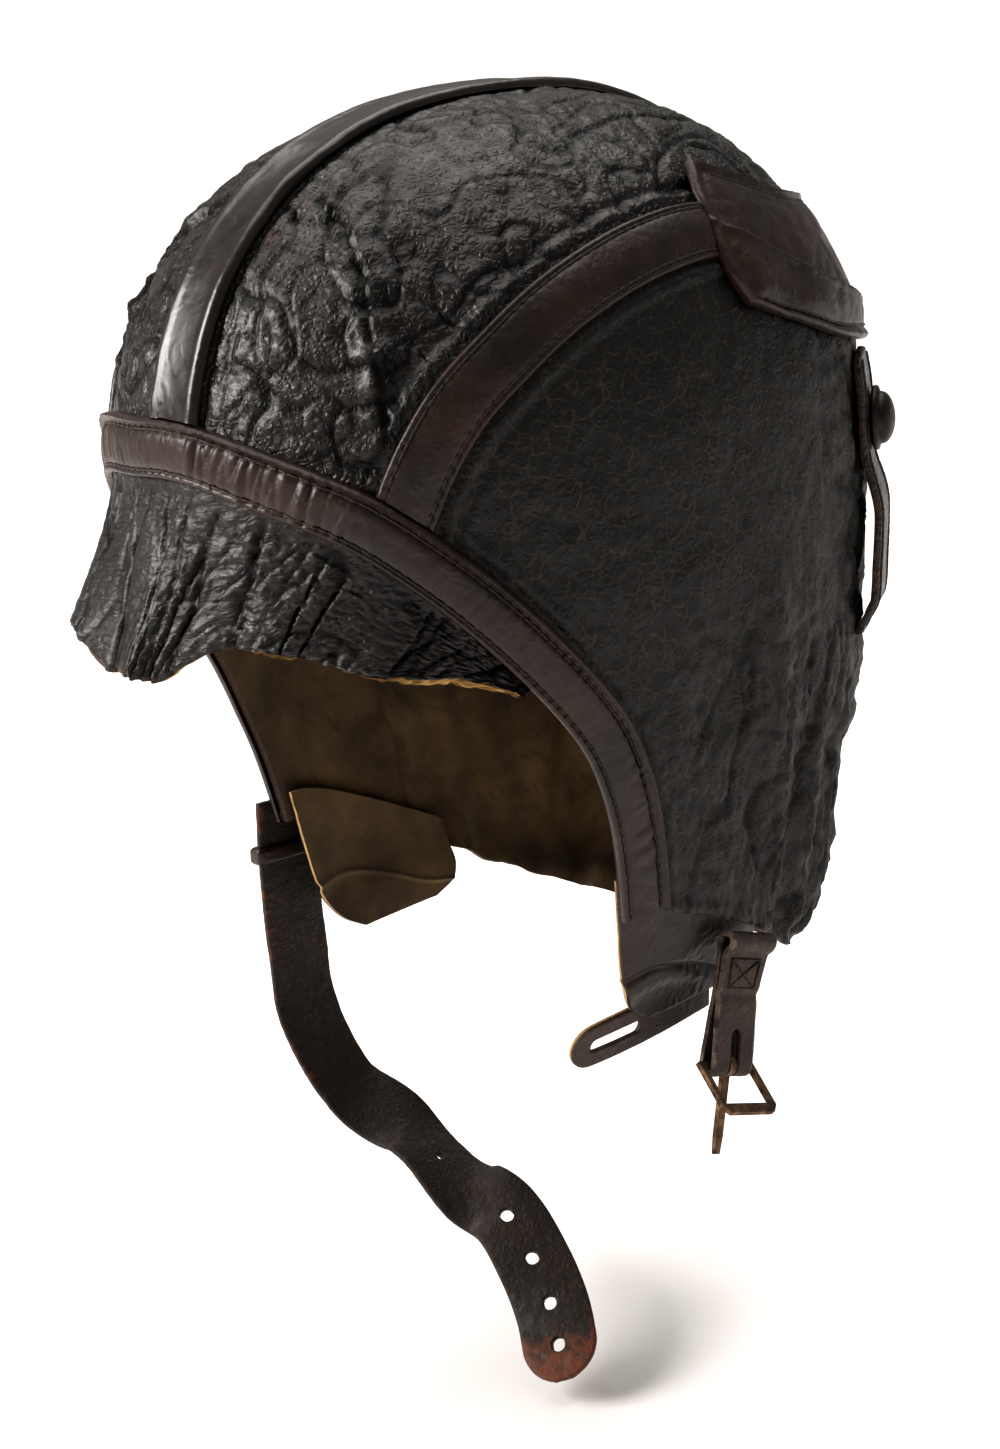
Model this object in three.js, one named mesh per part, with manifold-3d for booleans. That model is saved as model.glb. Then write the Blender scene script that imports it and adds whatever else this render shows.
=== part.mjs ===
// Leather flying helmet, in millimetres, +Z up.
// The wearer looks along -Y and the wearer's left side is +X.
// The origin is the inside of the crown's top, where a head carries the helmet.
import * as THREE from "three";
import { mergeVertices } from "three/addons/utils/BufferGeometryUtils.js";
import Module from "manifold-3d";

// Inside of the helmet, measured from the middle of its widest level
const HALF_WIDTH = 79.5;
const FRONT_REACH = 102;
const BACK_REACH = 103;
const CROWN_HEIGHT = 89.5;
const NAPE_DROP = 149;
const PLAN_ROUNDNESS = 2.2;
const CROWN_ROUNDNESS = 2.33;

// Leather and clearances
const PANEL_LEATHER = 2.2;
const BAND_LEATHER = 1.9;
const STRIP_LEATHER = 1.5;
const PATCH_LEATHER = 2.4;
const FLAP_LEATHER = 1.6;
const LINING_LEATHER = 1.0;
const GAP = 0.3;
const SEAM_GAP = 0.8;

// Widths of the bands
const FACE_BAND_WIDTH = 13.5;
const ARCH_BAND_WIDTH = 14.5;
const STRIP_WIDTH = 17;

// Heights over the inside wall at which pieces lie
const BAND_LIFT = PANEL_LEATHER + GAP;
const STRAP_LIFT = BAND_LIFT + BAND_LEATHER + 2 * GAP;
const PATCH_LIFT = BAND_LIFT + 0.2;
const CHIN_FLAP_LIFT = -1.3;

// Where the brow flap ends, as a share of the face line from the forehead to a cheek
const FLAP_END = 0.65;
const FLAP_FADE = 0.06;
const FLAP_SHORT = 0.02;
const FLAP_HIDDEN = 0.2;
const PANEL_SHORT = 1;

// Goggle straps at the back
const GOGGLE_AZIMUTH = 138;
const GOGGLE_WIDTH = 18;
const GOGGLE_LEATHER = 1.8;
const GOGGLE_STAND_OFF = 3.4;
const GOGGLE_ELEVATIONS = [11, -2, -17, -32];
const SNAP_DIAMETER = 17;
const SNAP_HEIGHT = 6;

// Chin flaps and slotted tab
const CHIN_FLAP_FRONT = -34;
const CHIN_FLAP_BACK = 20;
const CHIN_FLAP_BOTTOM = 140;
const CHIN_FLAP_TUCK = 7;
const SLOT_TAB_BACK = -42.5;
const SLOT_TAB_DROP = 143.5;
const SLOT_TAB_SLOPE = -3;
const SLOT_TAB_LENGTH = 50;
const SLOT_TAB_HEIGHT = 11.5;
const SLOT_TAB_LEATHER = 1.5;
const SLOT_LENGTH = 17;
const SLOT_HEIGHT = 3.9;

// Buckle and its leather tab
const TAB_LEAN = 21;
const TAB_WIDTH = 15.5;
const TAB_TOP_WIDTH = 18;
const TAB_LENGTH = 37;
const TAB_LEATHER = 1.4;
const TAB_LIP = 5.5;
const BAR_WIDTH = 1.8;
const WIRE_THICKNESS = 1.4;
const WIRE_WIDTH = 2.8;
const FRAME_LENGTH = 15;
const FRAME_SIDE_GAP = 1.2;
const FRAME_SWING = 50;
const PRONG_LENGTH = 23;
const PRONG_WIDTH = 2.6;
const PRONG_THICKNESS = 1.4;
const PRONG_SWING = 5;
const BORE_RADIUS = Math.hypot(BAR_WIDTH, WIRE_THICKNESS) / 2 + GAP;
const FOLD_RADIUS = BORE_RADIUS + TAB_LEATHER;
const BAR_DROP = 156;
const BAR_BACK = -3;

// Chin strap
const STRAP_BACK = -27.5;
const STRAP_TOP = 99;
const STRAP_LENGTH = 207;
const STRAP_WIDTH = 21;
const STRAP_LEATHER = 1.8;
const STRAP_HOLE = 3.6;
const KEEPER_HEIGHT = 4.6;
const KEEPER_LEATHER = 1.5;
const RIVET_DIAMETER = 7;
const RIVET_HEIGHT = 2.2;
const KEEPER_PLACE = 0.072;
const RIVET_PLACE = 0.025;

// Facets along and across each piece
const CROWN_FACETS = [20, 9];
const SIDE_FACETS = [32, 11];
const FACE_BAND_FACETS = 48;
const ARCH_BAND_FACETS = 16;
const STRIP_FACETS = 20;
const PATCH_FACETS = [28, 5];
const BROW_FACETS = [32, 5];
const GOGGLE_FACETS = [16, 2];
const CHIN_FLAP_FACETS = [10, 6];
const CHIN_STRAP_FACETS = 28;

// Shape of the helmet below its widest level: shares of the widest level's sizes
const BELOW = [
  { angle: 0, side: 1.0, front: 1.0, back: 1.0 },
  { angle: 15, side: 0.995, front: 0.995, back: 0.995 },
  { angle: 30, side: 0.965, front: 0.965, back: 0.972 },
  { angle: 42, side: 0.93, front: 0.93, back: 0.93 },
  { angle: 47, side: 0.905, front: 0.905, back: 0.86 },
  { angle: 55, side: 0.862, front: 0.862, back: 0.825 },
  { angle: 58, side: 0.843, front: 0.845, back: 0.8 },
  { angle: 62, side: 0.81, front: 0.815, back: 0.73 },
  { angle: 66, side: 0.75, front: 0.785, back: 0.61 },
  { angle: 72, side: 0.69, front: 0.74, back: 0.5 },
];

// Lower hem of the side panels: drop as a share of the nape's drop
const HEM = [
  { azimuth: 60, drop: 0.69 },
  { azimuth: 68, drop: 0.7 },
  { azimuth: 84, drop: 0.755 },
  { azimuth: 99, drop: 0.815 },
  { azimuth: 118, drop: 0.9 },
  { azimuth: 137, drop: 0.963 },
  { azimuth: 160, drop: 0.993 },
  { azimuth: 180, drop: 1.0 },
];

// Middle of the face band, from the forehead to the left cheek
const FACE_LINE = [
  { azimuth: 0, elevation: 11.5 },
  { azimuth: 15, elevation: 8.5 },
  { azimuth: 28, elevation: 3 },
  { azimuth: 38, elevation: -5.5 },
  { azimuth: 46, elevation: -14.5 },
  { azimuth: 54, elevation: -25 },
  { azimuth: 60, elevation: -34 },
  { azimuth: 63.5, elevation: -42 },
  { azimuth: 65.5, elevation: -49 },
  { azimuth: 66.5, elevation: -55.5 },
];

// Seam between crown and side panel, under the arch band and the rear patch
const CROWN_SEAM = [
  { azimuth: 32, elevation: 0.5 },
  { azimuth: 36.5, elevation: 10 },
  { azimuth: 41.5, elevation: 17.5 },
  { azimuth: 49, elevation: 24.5 },
  { azimuth: 56.5, elevation: 30 },
  { azimuth: 66.5, elevation: 35 },
  { azimuth: 80.5, elevation: 39 },
  { azimuth: 97.5, elevation: 40 },
  { azimuth: 118, elevation: 35 },
];
const SEAM_AT_BACK = { azimuth: 180, elevation: 18 };

// The band sits higher on the right of the forehead: extra elevation by azimuth to the right
const RIGHT_RISE = [
  { azimuth: 0, rise: 0 },
  { azimuth: 8, rise: 0.9 },
  { azimuth: 18, rise: 3.4 },
  { azimuth: 28, rise: 5.2 },
  { azimuth: 40, rise: 4.4 },
  { azimuth: 52, rise: 1.6 },
  { azimuth: 62, rise: 0 },
];
const RISE_FADES_FROM = 14;
const RISE_FADES_TO = 52;

// Outline of the rear patch
const PATCH_TOP = [
  { azimuth: 107, elevation: 51 },
  { azimuth: 116, elevation: 47.5 },
  { azimuth: 126, elevation: 42.5 },
  { azimuth: 136, elevation: 38 },
  { azimuth: 157, elevation: 32 },
  { azimuth: 180, elevation: 30 },
];
const PATCH_BOTTOM = [
  { azimuth: 100, elevation: 27 },
  { azimuth: 112, elevation: 22 },
  { azimuth: 129, elevation: 15 },
  { azimuth: 155, elevation: 9 },
  { azimuth: 180, elevation: 7 },
];
const PATCH_FRONT = [
  { azimuth: 107, elevation: 51 },
  { azimuth: 101.5, elevation: 46 },
  { azimuth: 99, elevation: 40 },
  { azimuth: 97.5, elevation: 35 },
  { azimuth: 98, elevation: 31 },
  { azimuth: 100, elevation: 27 },
];

// Thickness across a band, thin at its edges and ribbed along its stitching
const BAND_PROFILE = [
  { across: 0, share: 0.6 },
  { across: 0.12, share: 1.0 },
  { across: 0.5, share: 0.85 },
  { across: 0.88, share: 1.0 },
  { across: 1, share: 0.6 },
];

// Front and back edges of a chin flap from its top to its bottom
const CHIN_FLAP_EDGE = [
  { drop: 0, front: 0, back: 0 },
  { drop: 0.35, front: 1.5, back: 0 },
  { drop: 0.7, front: 4, back: -0.5 },
  { drop: 0.9, front: 9, back: -4 },
  { drop: 1, front: 16, back: -10 },
];

// Folds of the leather: a height above zero is a ridge, below zero a groove
const FOLDS = [
  { azimuth: 24, elevation: 44, toAzimuth: 31, toElevation: 24, width: 3.2, height: 1.3 },
  { azimuth: 31, elevation: 24, toAzimuth: 31, toElevation: 14, width: 3.4, height: 1.5 },
  { azimuth: 18, elevation: 42, toAzimuth: 24, toElevation: 24, width: 9, height: -1.4 },
  { azimuth: 36, elevation: 40, toAzimuth: 38, toElevation: 27, width: 8, height: -1.2 },
  { azimuth: 118, elevation: 36, toAzimuth: 180, toElevation: 20, width: 24, height: -1.9 },
  { azimuth: 62, elevation: 10, toAzimuth: 76, toElevation: -6, width: 9, height: -1.0 },
  { azimuth: 84, elevation: -36, toAzimuth: 100, toElevation: -50, width: 8, height: -1.6 },
  { azimuth: 100, elevation: -22, toAzimuth: 106, toElevation: -48, width: 6, height: 1.2 },
];

// Gathers of the nape
const GATHER_DEPTH = 1.3;
const GATHER_PERIOD = 12;
const GATHER_FROM = 104;
const GATHER_TOP = -36;
const GATHER_FADE = 12;

// Brow flap: length below the band, and how far its end leans out, by place along the face line
const BROW = [
  { azimuth: -52, length: 2, lean: 8, lining: 0 },
  { azimuth: -44, length: 13, lean: 14, lining: 0 },
  { azimuth: -36, length: 30, lean: 20, lining: 0 },
  { azimuth: -28, length: 38.2, lean: 25, lining: 0 },
  { azimuth: -20, length: 42, lean: 26, lining: 0 },
  { azimuth: -12, length: 48.8, lean: 25, lining: 0 },
  { azimuth: -4, length: 48.5, lean: 24, lining: 0 },
  { azimuth: 3, length: 48.2, lean: 23, lining: 0 },
  { azimuth: 8, length: 47.5, lean: 21, lining: 0 },
  { azimuth: 12, length: 40.7, lean: 20, lining: 0 },
  { azimuth: 16, length: 34.5, lean: 18, lining: 0 },
  { azimuth: 20, length: 31.5, lean: 17, lining: 0.6 },
  { azimuth: 26, length: 29.5, lean: 16, lining: 1.2 },
  { azimuth: 31, length: 28, lean: 15, lining: 0 },
  { azimuth: 36, length: 24.5, lean: 14, lining: 0.4 },
  { azimuth: 42, length: 17, lean: 12, lining: 1.8 },
  { azimuth: 47, length: 8.5, lean: 10, lining: 2.2 },
  { azimuth: 52, length: 2.2, lean: 6, lining: 1 },
];
const BROW_WAVE = 1.4;
const BROW_WAVES = 9;
const BROW_BENDS = 8;

// Route of the chin strap from its sewn end: shares of its length, and its turn to the front
const STRAP_ROUTE = [
  { across: 0, back: 0, up: 0, turn: 0 },
  { across: 0, back: -0.008, up: -0.104, turn: 0 },
  { across: 0.002, back: -0.011, up: -0.215, turn: 0 },
  { across: 0.012, back: -0.013, up: -0.314, turn: 0 },
  { across: 0.064, back: 0.003, up: -0.42, turn: -0.25 },
  { across: 0.156, back: 0.032, up: -0.478, turn: -0.2 },
  { across: 0.258, back: 0.035, up: -0.535, turn: 0.1 },
  { across: 0.326, back: 0.04, up: -0.557, turn: 0.45 },
  { across: 0.394, back: 0.022, up: -0.597, turn: 0.6 },
  { across: 0.454, back: -0.006, up: -0.64, turn: 0.85 },
  { across: 0.519, back: -0.057, up: -0.693, turn: 1 },
];
const STRAP_HOLES = [0.547, 0.705, 0.795, 0.885, 0.95];
const STRAP_FRONT_FACE = new THREE.Vector3(0.45, -0.75, 0.5);

// Colours and surfaces
const LEATHER_DARK = { color: 0x2b2120, roughness: 0.5, metalness: 0 };
const LEATHER_BROWN = { color: 0x3a2522, roughness: 0.45, metalness: 0 };
const LEATHER_TAB = { color: 0x4a3a37, roughness: 0.65, metalness: 0 };
const CHAMOIS = { color: 0xa58a52, roughness: 0.9, metalness: 0 };
const SUEDE = { color: 0x35261f, roughness: 0.85, metalness: 0 };
const RUSTY_BRASS = { color: 0x6b4a38, roughness: 0.55, metalness: 0.8 };
const BLACK_METAL = { color: 0x2c2624, roughness: 0.4, metalness: 0.7 };

const wasm = await Module();
wasm.setup();

const helmet = new THREE.Group();
helmet.position.z = -CROWN_HEIGHT;

const radians = THREE.MathUtils.degToRad;
const degrees = THREE.MathUtils.radToDeg;
const UP = new THREE.Vector3(0, 0, 1);

// Value of one column of a table between its rows, on a smooth curve
function readTable(rows, key, at, column) {
  const place = THREE.MathUtils.clamp(at, rows[0][key], rows[rows.length - 1][key]);
  let i = 0;
  while (i < rows.length - 2 && rows[i + 1][key] < place) i += 1;
  const slope = (a, b) => (rows[b][column] - rows[a][column]) / (rows[b][key] - rows[a][key]);
  const step = rows[i + 1][key] - rows[i][key];
  const middle = slope(i, i + 1);
  const start = i > 0 ? (slope(i - 1, i) + middle) / 2 : middle;
  const end = i < rows.length - 2 ? (slope(i + 1, i + 2) + middle) / 2 : middle;
  const t = (place - rows[i][key]) / step;
  const h1 = 2 * t ** 3 - 3 * t ** 2 + 1;
  const h2 = t ** 3 - 2 * t ** 2 + t;
  const h3 = t ** 3 - t ** 2;
  return h1 * rows[i][column] + h2 * step * start + (1 - h1) * rows[i + 1][column] + h3 * step * end;
}

// Directions from the middle of the head: azimuth from the front to the left, elevation upwards
function directionOf(azimuth, elevation) {
  const level = Math.cos(radians(elevation));
  const x = Math.sin(radians(azimuth)) * level;
  const y = -Math.cos(radians(azimuth)) * level;
  return new THREE.Vector3(x, y, Math.sin(radians(elevation)));
}

function azimuthOf(point) {
  return degrees(Math.atan2(point.x, -point.y));
}

function elevationOf(point) {
  return degrees(Math.atan2(point.z, Math.hypot(point.x, point.y)));
}

// Level reach of the inside wall at an azimuth, for the given shares of the widest level
function levelReach(azimuth, side, front, back) {
  const lengthways = Math.abs(azimuth) < 90 ? FRONT_REACH * front : BACK_REACH * back;
  const across = Math.abs(Math.sin(radians(azimuth))) / (HALF_WIDTH * side);
  const along = Math.abs(Math.cos(radians(azimuth))) / lengthways;
  return (across ** PLAN_ROUNDNESS + along ** PLAN_ROUNDNESS) ** (-1 / PLAN_ROUNDNESS);
}

// Point of the inside wall that lies in a direction
function wallPoint(direction) {
  const azimuth = azimuthOf(direction);
  const elevation = elevationOf(direction);
  const level = Math.cos(radians(elevation));
  const rise = Math.sin(radians(elevation));
  if (elevation >= 0) {
    const reach = levelReach(azimuth, 1, 1, 1);
    const sum = (level / reach) ** CROWN_ROUNDNESS + (rise / CROWN_HEIGHT) ** CROWN_ROUNDNESS;
    return direction.clone().setLength(sum ** (-1 / CROWN_ROUNDNESS));
  }
  const share = (column) => readTable(BELOW, "angle", -elevation, column);
  const reach = levelReach(azimuth, share("side"), share("front"), share("back"));
  return direction.clone().setLength(reach / level);
}

// Outward normal of the inside wall
function wallNormal(direction) {
  const step = 0.004;
  const across = direction.clone().cross(Math.abs(direction.x) > 0.9 ? UP : new THREE.Vector3(1, 0, 0));
  const first = across.normalize();
  const second = direction.clone().cross(first).normalize();
  const at = (a, b) => {
    const turned = direction.clone().addScaledVector(first, a).addScaledVector(second, b);
    return wallPoint(turned.normalize());
  };
  const alongFirst = at(step, 0).sub(at(-step, 0));
  const alongSecond = at(0, step).sub(at(0, -step));
  return alongFirst.cross(alongSecond).normalize();
}

function smoothStep(from, to, at) {
  return THREE.MathUtils.smoothstep(at, from, to);
}

// Height of the folds and gathers over the smooth wall
function relief(direction) {
  const mirrored = new THREE.Vector3(Math.abs(direction.x), direction.y, direction.z);
  const azimuth = azimuthOf(mirrored);
  const elevation = elevationOf(mirrored);
  const low = 1 - smoothStep(GATHER_TOP - GATHER_FADE, GATHER_TOP, elevation);
  const nape = smoothStep(GATHER_FROM, GATHER_FROM + GATHER_FADE, azimuth) * low;
  let height = GATHER_DEPTH * nape * Math.cos((2 * Math.PI * azimuth) / GATHER_PERIOD);
  const place = wallPoint(mirrored);
  for (const fold of FOLDS) {
    const start = wallPoint(directionOf(fold.azimuth, fold.elevation));
    const end = wallPoint(directionOf(fold.toAzimuth, fold.toElevation));
    const along = new THREE.Line3(start, end).closestPointToPointParameter(place, true);
    const nearest = start.clone().lerp(end, along);
    height += fold.height * Math.exp(-((nearest.distanceTo(place) / fold.width) ** 2));
  }
  return height;
}

// Direction with the rise on the right of the forehead added
function settled(direction) {
  if (direction.x >= 0) return direction;
  const elevation = elevationOf(direction);
  const rise = readTable(RIGHT_RISE, "azimuth", -azimuthOf(direction), "rise");
  const fade = 1 - smoothStep(RISE_FADES_FROM, RISE_FADES_TO, elevation);
  return directionOf(azimuthOf(direction), elevation + rise * fade);
}

// Point at a height over the inside wall, folds included
function leatherPoint(direction, lift) {
  const at = settled(direction);
  return wallPoint(at).addScaledVector(wallNormal(at), lift + relief(direction));
}

// Lines over the wall
function lineThrough(rows) {
  return new THREE.CatmullRomCurve3(rows.map((row) => directionOf(row.azimuth, row.elevation)));
}

function mirroredRows(rows) {
  return rows.map((row) => ({ ...row, azimuth: -row.azimuth }));
}

const leftFaceLine = lineThrough(FACE_LINE);
const wholeFaceLine = lineThrough([...mirroredRows(FACE_LINE.slice(1)).reverse(), ...FACE_LINE]);
const seamLine = lineThrough(CROWN_SEAM);

// Direction beside a line over the wall, by a distance to the line's upper side
function beside(line, along, distance) {
  const at = (t) => wallPoint(line.getPointAt(THREE.MathUtils.clamp(t, 0, 1)).normalize());
  const here = at(along);
  const tangent = at(along + 0.004).sub(at(along - 0.004)).normalize();
  const side = wallNormal(here.clone().normalize()).cross(tangent).normalize();
  return here.addScaledVector(side, distance).normalize();
}

function distanceToLine(line, direction) {
  const place = wallPoint(direction);
  let nearest = Infinity;
  for (let i = 0; i <= 240; i += 1) {
    const gap = wallPoint(line.getPointAt(i / 240).normalize()).distanceTo(place);
    nearest = Math.min(nearest, gap);
  }
  return nearest;
}

// Direction at an azimuth where the wall has dropped by a height below its widest level
function directionAtDrop(azimuth, drop) {
  let high = 0;
  let low = -80;
  for (let i = 0; i < 40; i += 1) {
    const middle = (high + low) / 2;
    if (-wallPoint(directionOf(azimuth, middle)).z < drop) high = middle;
    else low = middle;
  }
  return directionOf(azimuth, high);
}

// Direction of the wall's point at a place in the side view, on the left
function directionInSideView(back, drop) {
  let inner = 0;
  let outer = 2 * HALF_WIDTH;
  for (let i = 0; i < 40; i += 1) {
    const middle = (inner + outer) / 2;
    const place = new THREE.Vector3(middle, back, -drop);
    if (place.length() < wallPoint(place.clone().normalize()).length()) inner = middle;
    else outer = middle;
  }
  return new THREE.Vector3(inner, back, -drop).normalize();
}

function hemDirection(azimuth) {
  return directionAtDrop(azimuth, NAPE_DROP * readTable(HEM, "azimuth", azimuth, "drop"));
}

// Places in a grid with four curved sides: top and bottom run one way, start and end the other
function spread(top, bottom, start, end, u, v) {
  const sum = new THREE.Vector3();
  sum.addScaledVector(top(u), 1 - v).addScaledVector(bottom(u), v);
  sum.addScaledVector(start(v), 1 - u).addScaledVector(end(v), u);
  sum.addScaledVector(top(0), -(1 - u) * (1 - v)).addScaledVector(top(1), -u * (1 - v));
  sum.addScaledVector(bottom(0), -(1 - u) * v).addScaledVector(bottom(1), -u * v);
  return sum;
}

// Closed geometry from a list of corners and faces, turned so that its faces point out
function closedGeometry(points, faces) {
  const edge = new THREE.Vector3();
  let volume = 0;
  for (const [a, b, c] of faces) {
    volume += points[a].dot(edge.crossVectors(points[b], points[c]));
  }
  const turned = volume > 0 ? faces : faces.map(([a, b, c]) => [a, c, b]);
  const geometry = new THREE.BufferGeometry();
  const positions = points.flatMap((point) => [point.x, point.y, point.z]);
  geometry.setAttribute("position", new THREE.Float32BufferAttribute(positions, 3));
  geometry.setIndex(turned.flat());
  return geometry;
}

// Sheet between two grids of points, closed round its four edges
function sheetGeometry(inner, outer) {
  const rows = inner.length;
  const columns = inner[0].length;
  const points = [...inner.flat(), ...outer.flat()];
  const under = (i, j) => i * columns + j;
  const over = (i, j) => rows * columns + i * columns + j;
  const faces = [];
  const addFour = (a, b, c, d) => faces.push([a, b, c], [a, c, d]);
  for (let i = 0; i < rows - 1; i += 1) {
    for (let j = 0; j < columns - 1; j += 1) {
      addFour(over(i, j), over(i + 1, j), over(i + 1, j + 1), over(i, j + 1));
      addFour(under(i, j), under(i, j + 1), under(i + 1, j + 1), under(i + 1, j));
    }
    addFour(over(i + 1, 0), over(i, 0), under(i, 0), under(i + 1, 0));
    const last = columns - 1;
    addFour(over(i, last), over(i + 1, last), under(i + 1, last), under(i, last));
  }
  for (let j = 0; j < columns - 1; j += 1) {
    addFour(over(0, j), over(0, j + 1), under(0, j + 1), under(0, j));
    const last = rows - 1;
    addFour(over(last, j + 1), over(last, j), under(last, j), under(last, j + 1));
  }
  return closedGeometry(points, faces);
}

// Sheet of leather over the wall from a grid of directions and its heights
function leatherGeometry(rows, columns, directionAt, lowerAt, upperAt) {
  const inner = [];
  const outer = [];
  for (let i = 0; i <= rows; i += 1) {
    inner.push([]);
    outer.push([]);
    for (let j = 0; j <= columns; j += 1) {
      const direction = directionAt(i / rows, j / columns);
      inner[i].push(leatherPoint(direction, lowerAt(i / rows, j / columns)));
      outer[i].push(leatherPoint(direction, upperAt(i / rows, j / columns)));
    }
  }
  return sheetGeometry(inner, outer);
}

function addPiece(name, geometry, finish, parent = helmet) {
  const piece = new THREE.Mesh(geometry, new THREE.MeshStandardMaterial(finish));
  piece.name = name;
  parent.add(piece);
  return piece;
}

// Left and right piece from one grid of directions on the left
function addPair(name, facets, directionAt, lowerAt, upperAt, finish) {
  const [rows, columns] = facets;
  addPiece(`${name}_left`, leatherGeometry(rows, columns, directionAt, lowerAt, upperAt), finish);
  const mirrored = (u, v) => {
    const direction = directionAt(u, v);
    direction.x = -direction.x;
    return direction;
  };
  addPiece(`${name}_right`, leatherGeometry(rows, columns, mirrored, lowerAt, upperAt), finish);
}

// Solids for cuts
function solidOf(geometry) {
  const bare = geometry.clone();
  bare.deleteAttribute("normal");
  bare.deleteAttribute("uv");
  const merged = mergeVertices(bare, 1e-4);
  const vertProperties = new Float32Array(merged.attributes.position.array);
  const triVerts = new Uint32Array(merged.index.array);
  return new wasm.Manifold(new wasm.Mesh({ numProp: 3, vertProperties, triVerts }));
}

function geometryOf(solid) {
  const mesh = solid.getMesh();
  const geometry = new THREE.BufferGeometry();
  geometry.setAttribute("position", new THREE.Float32BufferAttribute(mesh.vertProperties, 3));
  geometry.setIndex([...mesh.triVerts]);
  return geometry;
}

function cut(geometry, cutters) {
  let solid = solidOf(geometry);
  for (const cutter of cutters) solid = solid.subtract(solidOf(cutter));
  return geometryOf(solid);
}

// Crown and side panels
const midLine = (from, to) => (t) => {
  const angle = radians(THREE.MathUtils.lerp(from, to, t));
  const direction = new THREE.Vector3(0, -Math.cos(angle), Math.sin(angle));
  const place = wallPoint(direction);
  place.x = SEAM_GAP / 2;
  return place.normalize();
};
const seamStart = nearestOnFaceLine(seamLine.getPointAt(0));

function nearestOnFaceLine(direction) {
  let best = 0;
  for (let i = 0; i <= 400; i += 1) {
    const here = leftFaceLine.getPointAt(i / 400);
    if (here.distanceTo(direction) < leftFaceLine.getPointAt(best).distanceTo(direction)) best = i / 400;
  }
  return best;
}

function backSeam(offset) {
  const start = seamLine.getPointAt(1).normalize();
  const end = directionOf(SEAM_AT_BACK.azimuth, SEAM_AT_BACK.elevation);
  return (t) => {
    const direction = start.clone().lerp(end, t).normalize();
    const place = wallPoint(direction);
    place.x = Math.max(place.x, SEAM_GAP / 2);
    place.z += offset;
    return place.normalize();
  };
}

function buildCrownPanels() {
  const half = SEAM_GAP / 2;
  const crest = midLine(FACE_LINE[0].elevation + 0.3, 180 - SEAM_AT_BACK.elevation);
  const seam = (t) => beside(seamLine, t, half);
  const front = (t) => beside(leftFaceLine, t * seamStart, half);
  const back = backSeam(half);
  const directionAt = (u, v) => spread(crest, seam, front, (t) => back(1 - t), u, v).normalize();
  addPair("crown_panel", CROWN_FACETS, directionAt, () => 0, () => PANEL_LEATHER, LEATHER_DARK);
}

// The panel's front edge lies on the band's middle over the flap, and near the band's edge below it
function panelEdge(along) {
  const free = smoothStep(FLAP_END, FLAP_END + FLAP_FADE, along);
  return THREE.MathUtils.lerp(SEAM_GAP / 2, -FACE_BAND_WIDTH / 2 + PANEL_SHORT, free);
}

function buildSidePanels() {
  const seamShare = CROWN_FACETS[0] / SIDE_FACETS[0];
  const back = backSeam(-SEAM_GAP / 2);
  const top = (t) => {
    if (t < seamShare) return beside(seamLine, t / seamShare, -SEAM_GAP / 2);
    return back((t - seamShare) / (1 - seamShare));
  };
  const hem = (t) => hemDirection(THREE.MathUtils.lerp(FACE_LINE.at(-1).azimuth - 5.5, 180 - 0.2, t));
  const along = (t) => THREE.MathUtils.lerp(seamStart, 1, t);
  const face = (t) => beside(leftFaceLine, along(t), panelEdge(along(t)));
  const nape = (t) => {
    const start = top(1);
    const end = hem(1);
    const direction = start.clone().lerp(end, t).normalize();
    const place = wallPoint(direction);
    place.x = SEAM_GAP / 2;
    return place.normalize();
  };
  const directionAt = (u, v) => spread(top, hem, face, nape, u, v).normalize();
  addPair("side_panel", SIDE_FACETS, directionAt, () => 0, () => PANEL_LEATHER, LEATHER_DARK);
}

// Bands lie over the panels, thin at their edges and ribbed along their stitching
const bandCount = BAND_PROFILE.length - 1;
const bandUpper = (leather) => (u, v) => BAND_LIFT + leather * BAND_PROFILE[Math.round(v * bandCount)].share;
const bandDirection = (line, width, rangeAt) => (u, v) => {
  const offset = (BAND_PROFILE[Math.round(v * bandCount)].across - 0.5) * width;
  const [from, to] = rangeAt(offset);
  return beside(line, THREE.MathUtils.lerp(from, to, u), offset);
};

function addBand(name, facets, directionAt, leather) {
  const geometry = leatherGeometry(facets, bandCount, directionAt, () => BAND_LIFT, bandUpper(leather));
  addPiece(name, geometry, LEATHER_BROWN);
}

// Place where a rail, followed from its middle, meets a piece that is laid across it
function railEnd(line, offset, end, isClear) {
  let clear = 0.5;
  let blocked = end;
  for (let i = 0; i < 30; i += 1) {
    const middle = (clear + blocked) / 2;
    if (isClear(beside(line, middle, offset))) clear = middle;
    else blocked = middle;
  }
  return clear;
}

function clearOfFaceBand(direction) {
  return distanceToLine(wholeFaceLine, direction) > FACE_BAND_WIDTH / 2 + GAP;
}

function clearOfPatch(direction) {
  const elevation = elevationOf(direction);
  const margin = degrees(2 * GAP / HALF_WIDTH);
  const fromBelow = [...PATCH_FRONT].reverse();
  const front = readTable(fromBelow, "elevation", elevation, "azimuth");
  if (direction.x > 0.2) return azimuthOf(direction) < front - margin;
  const top = readTable(PATCH_TOP, "azimuth", Math.abs(azimuthOf(direction)), "elevation");
  return direction.y < 0 || elevation > top + margin;
}

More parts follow.
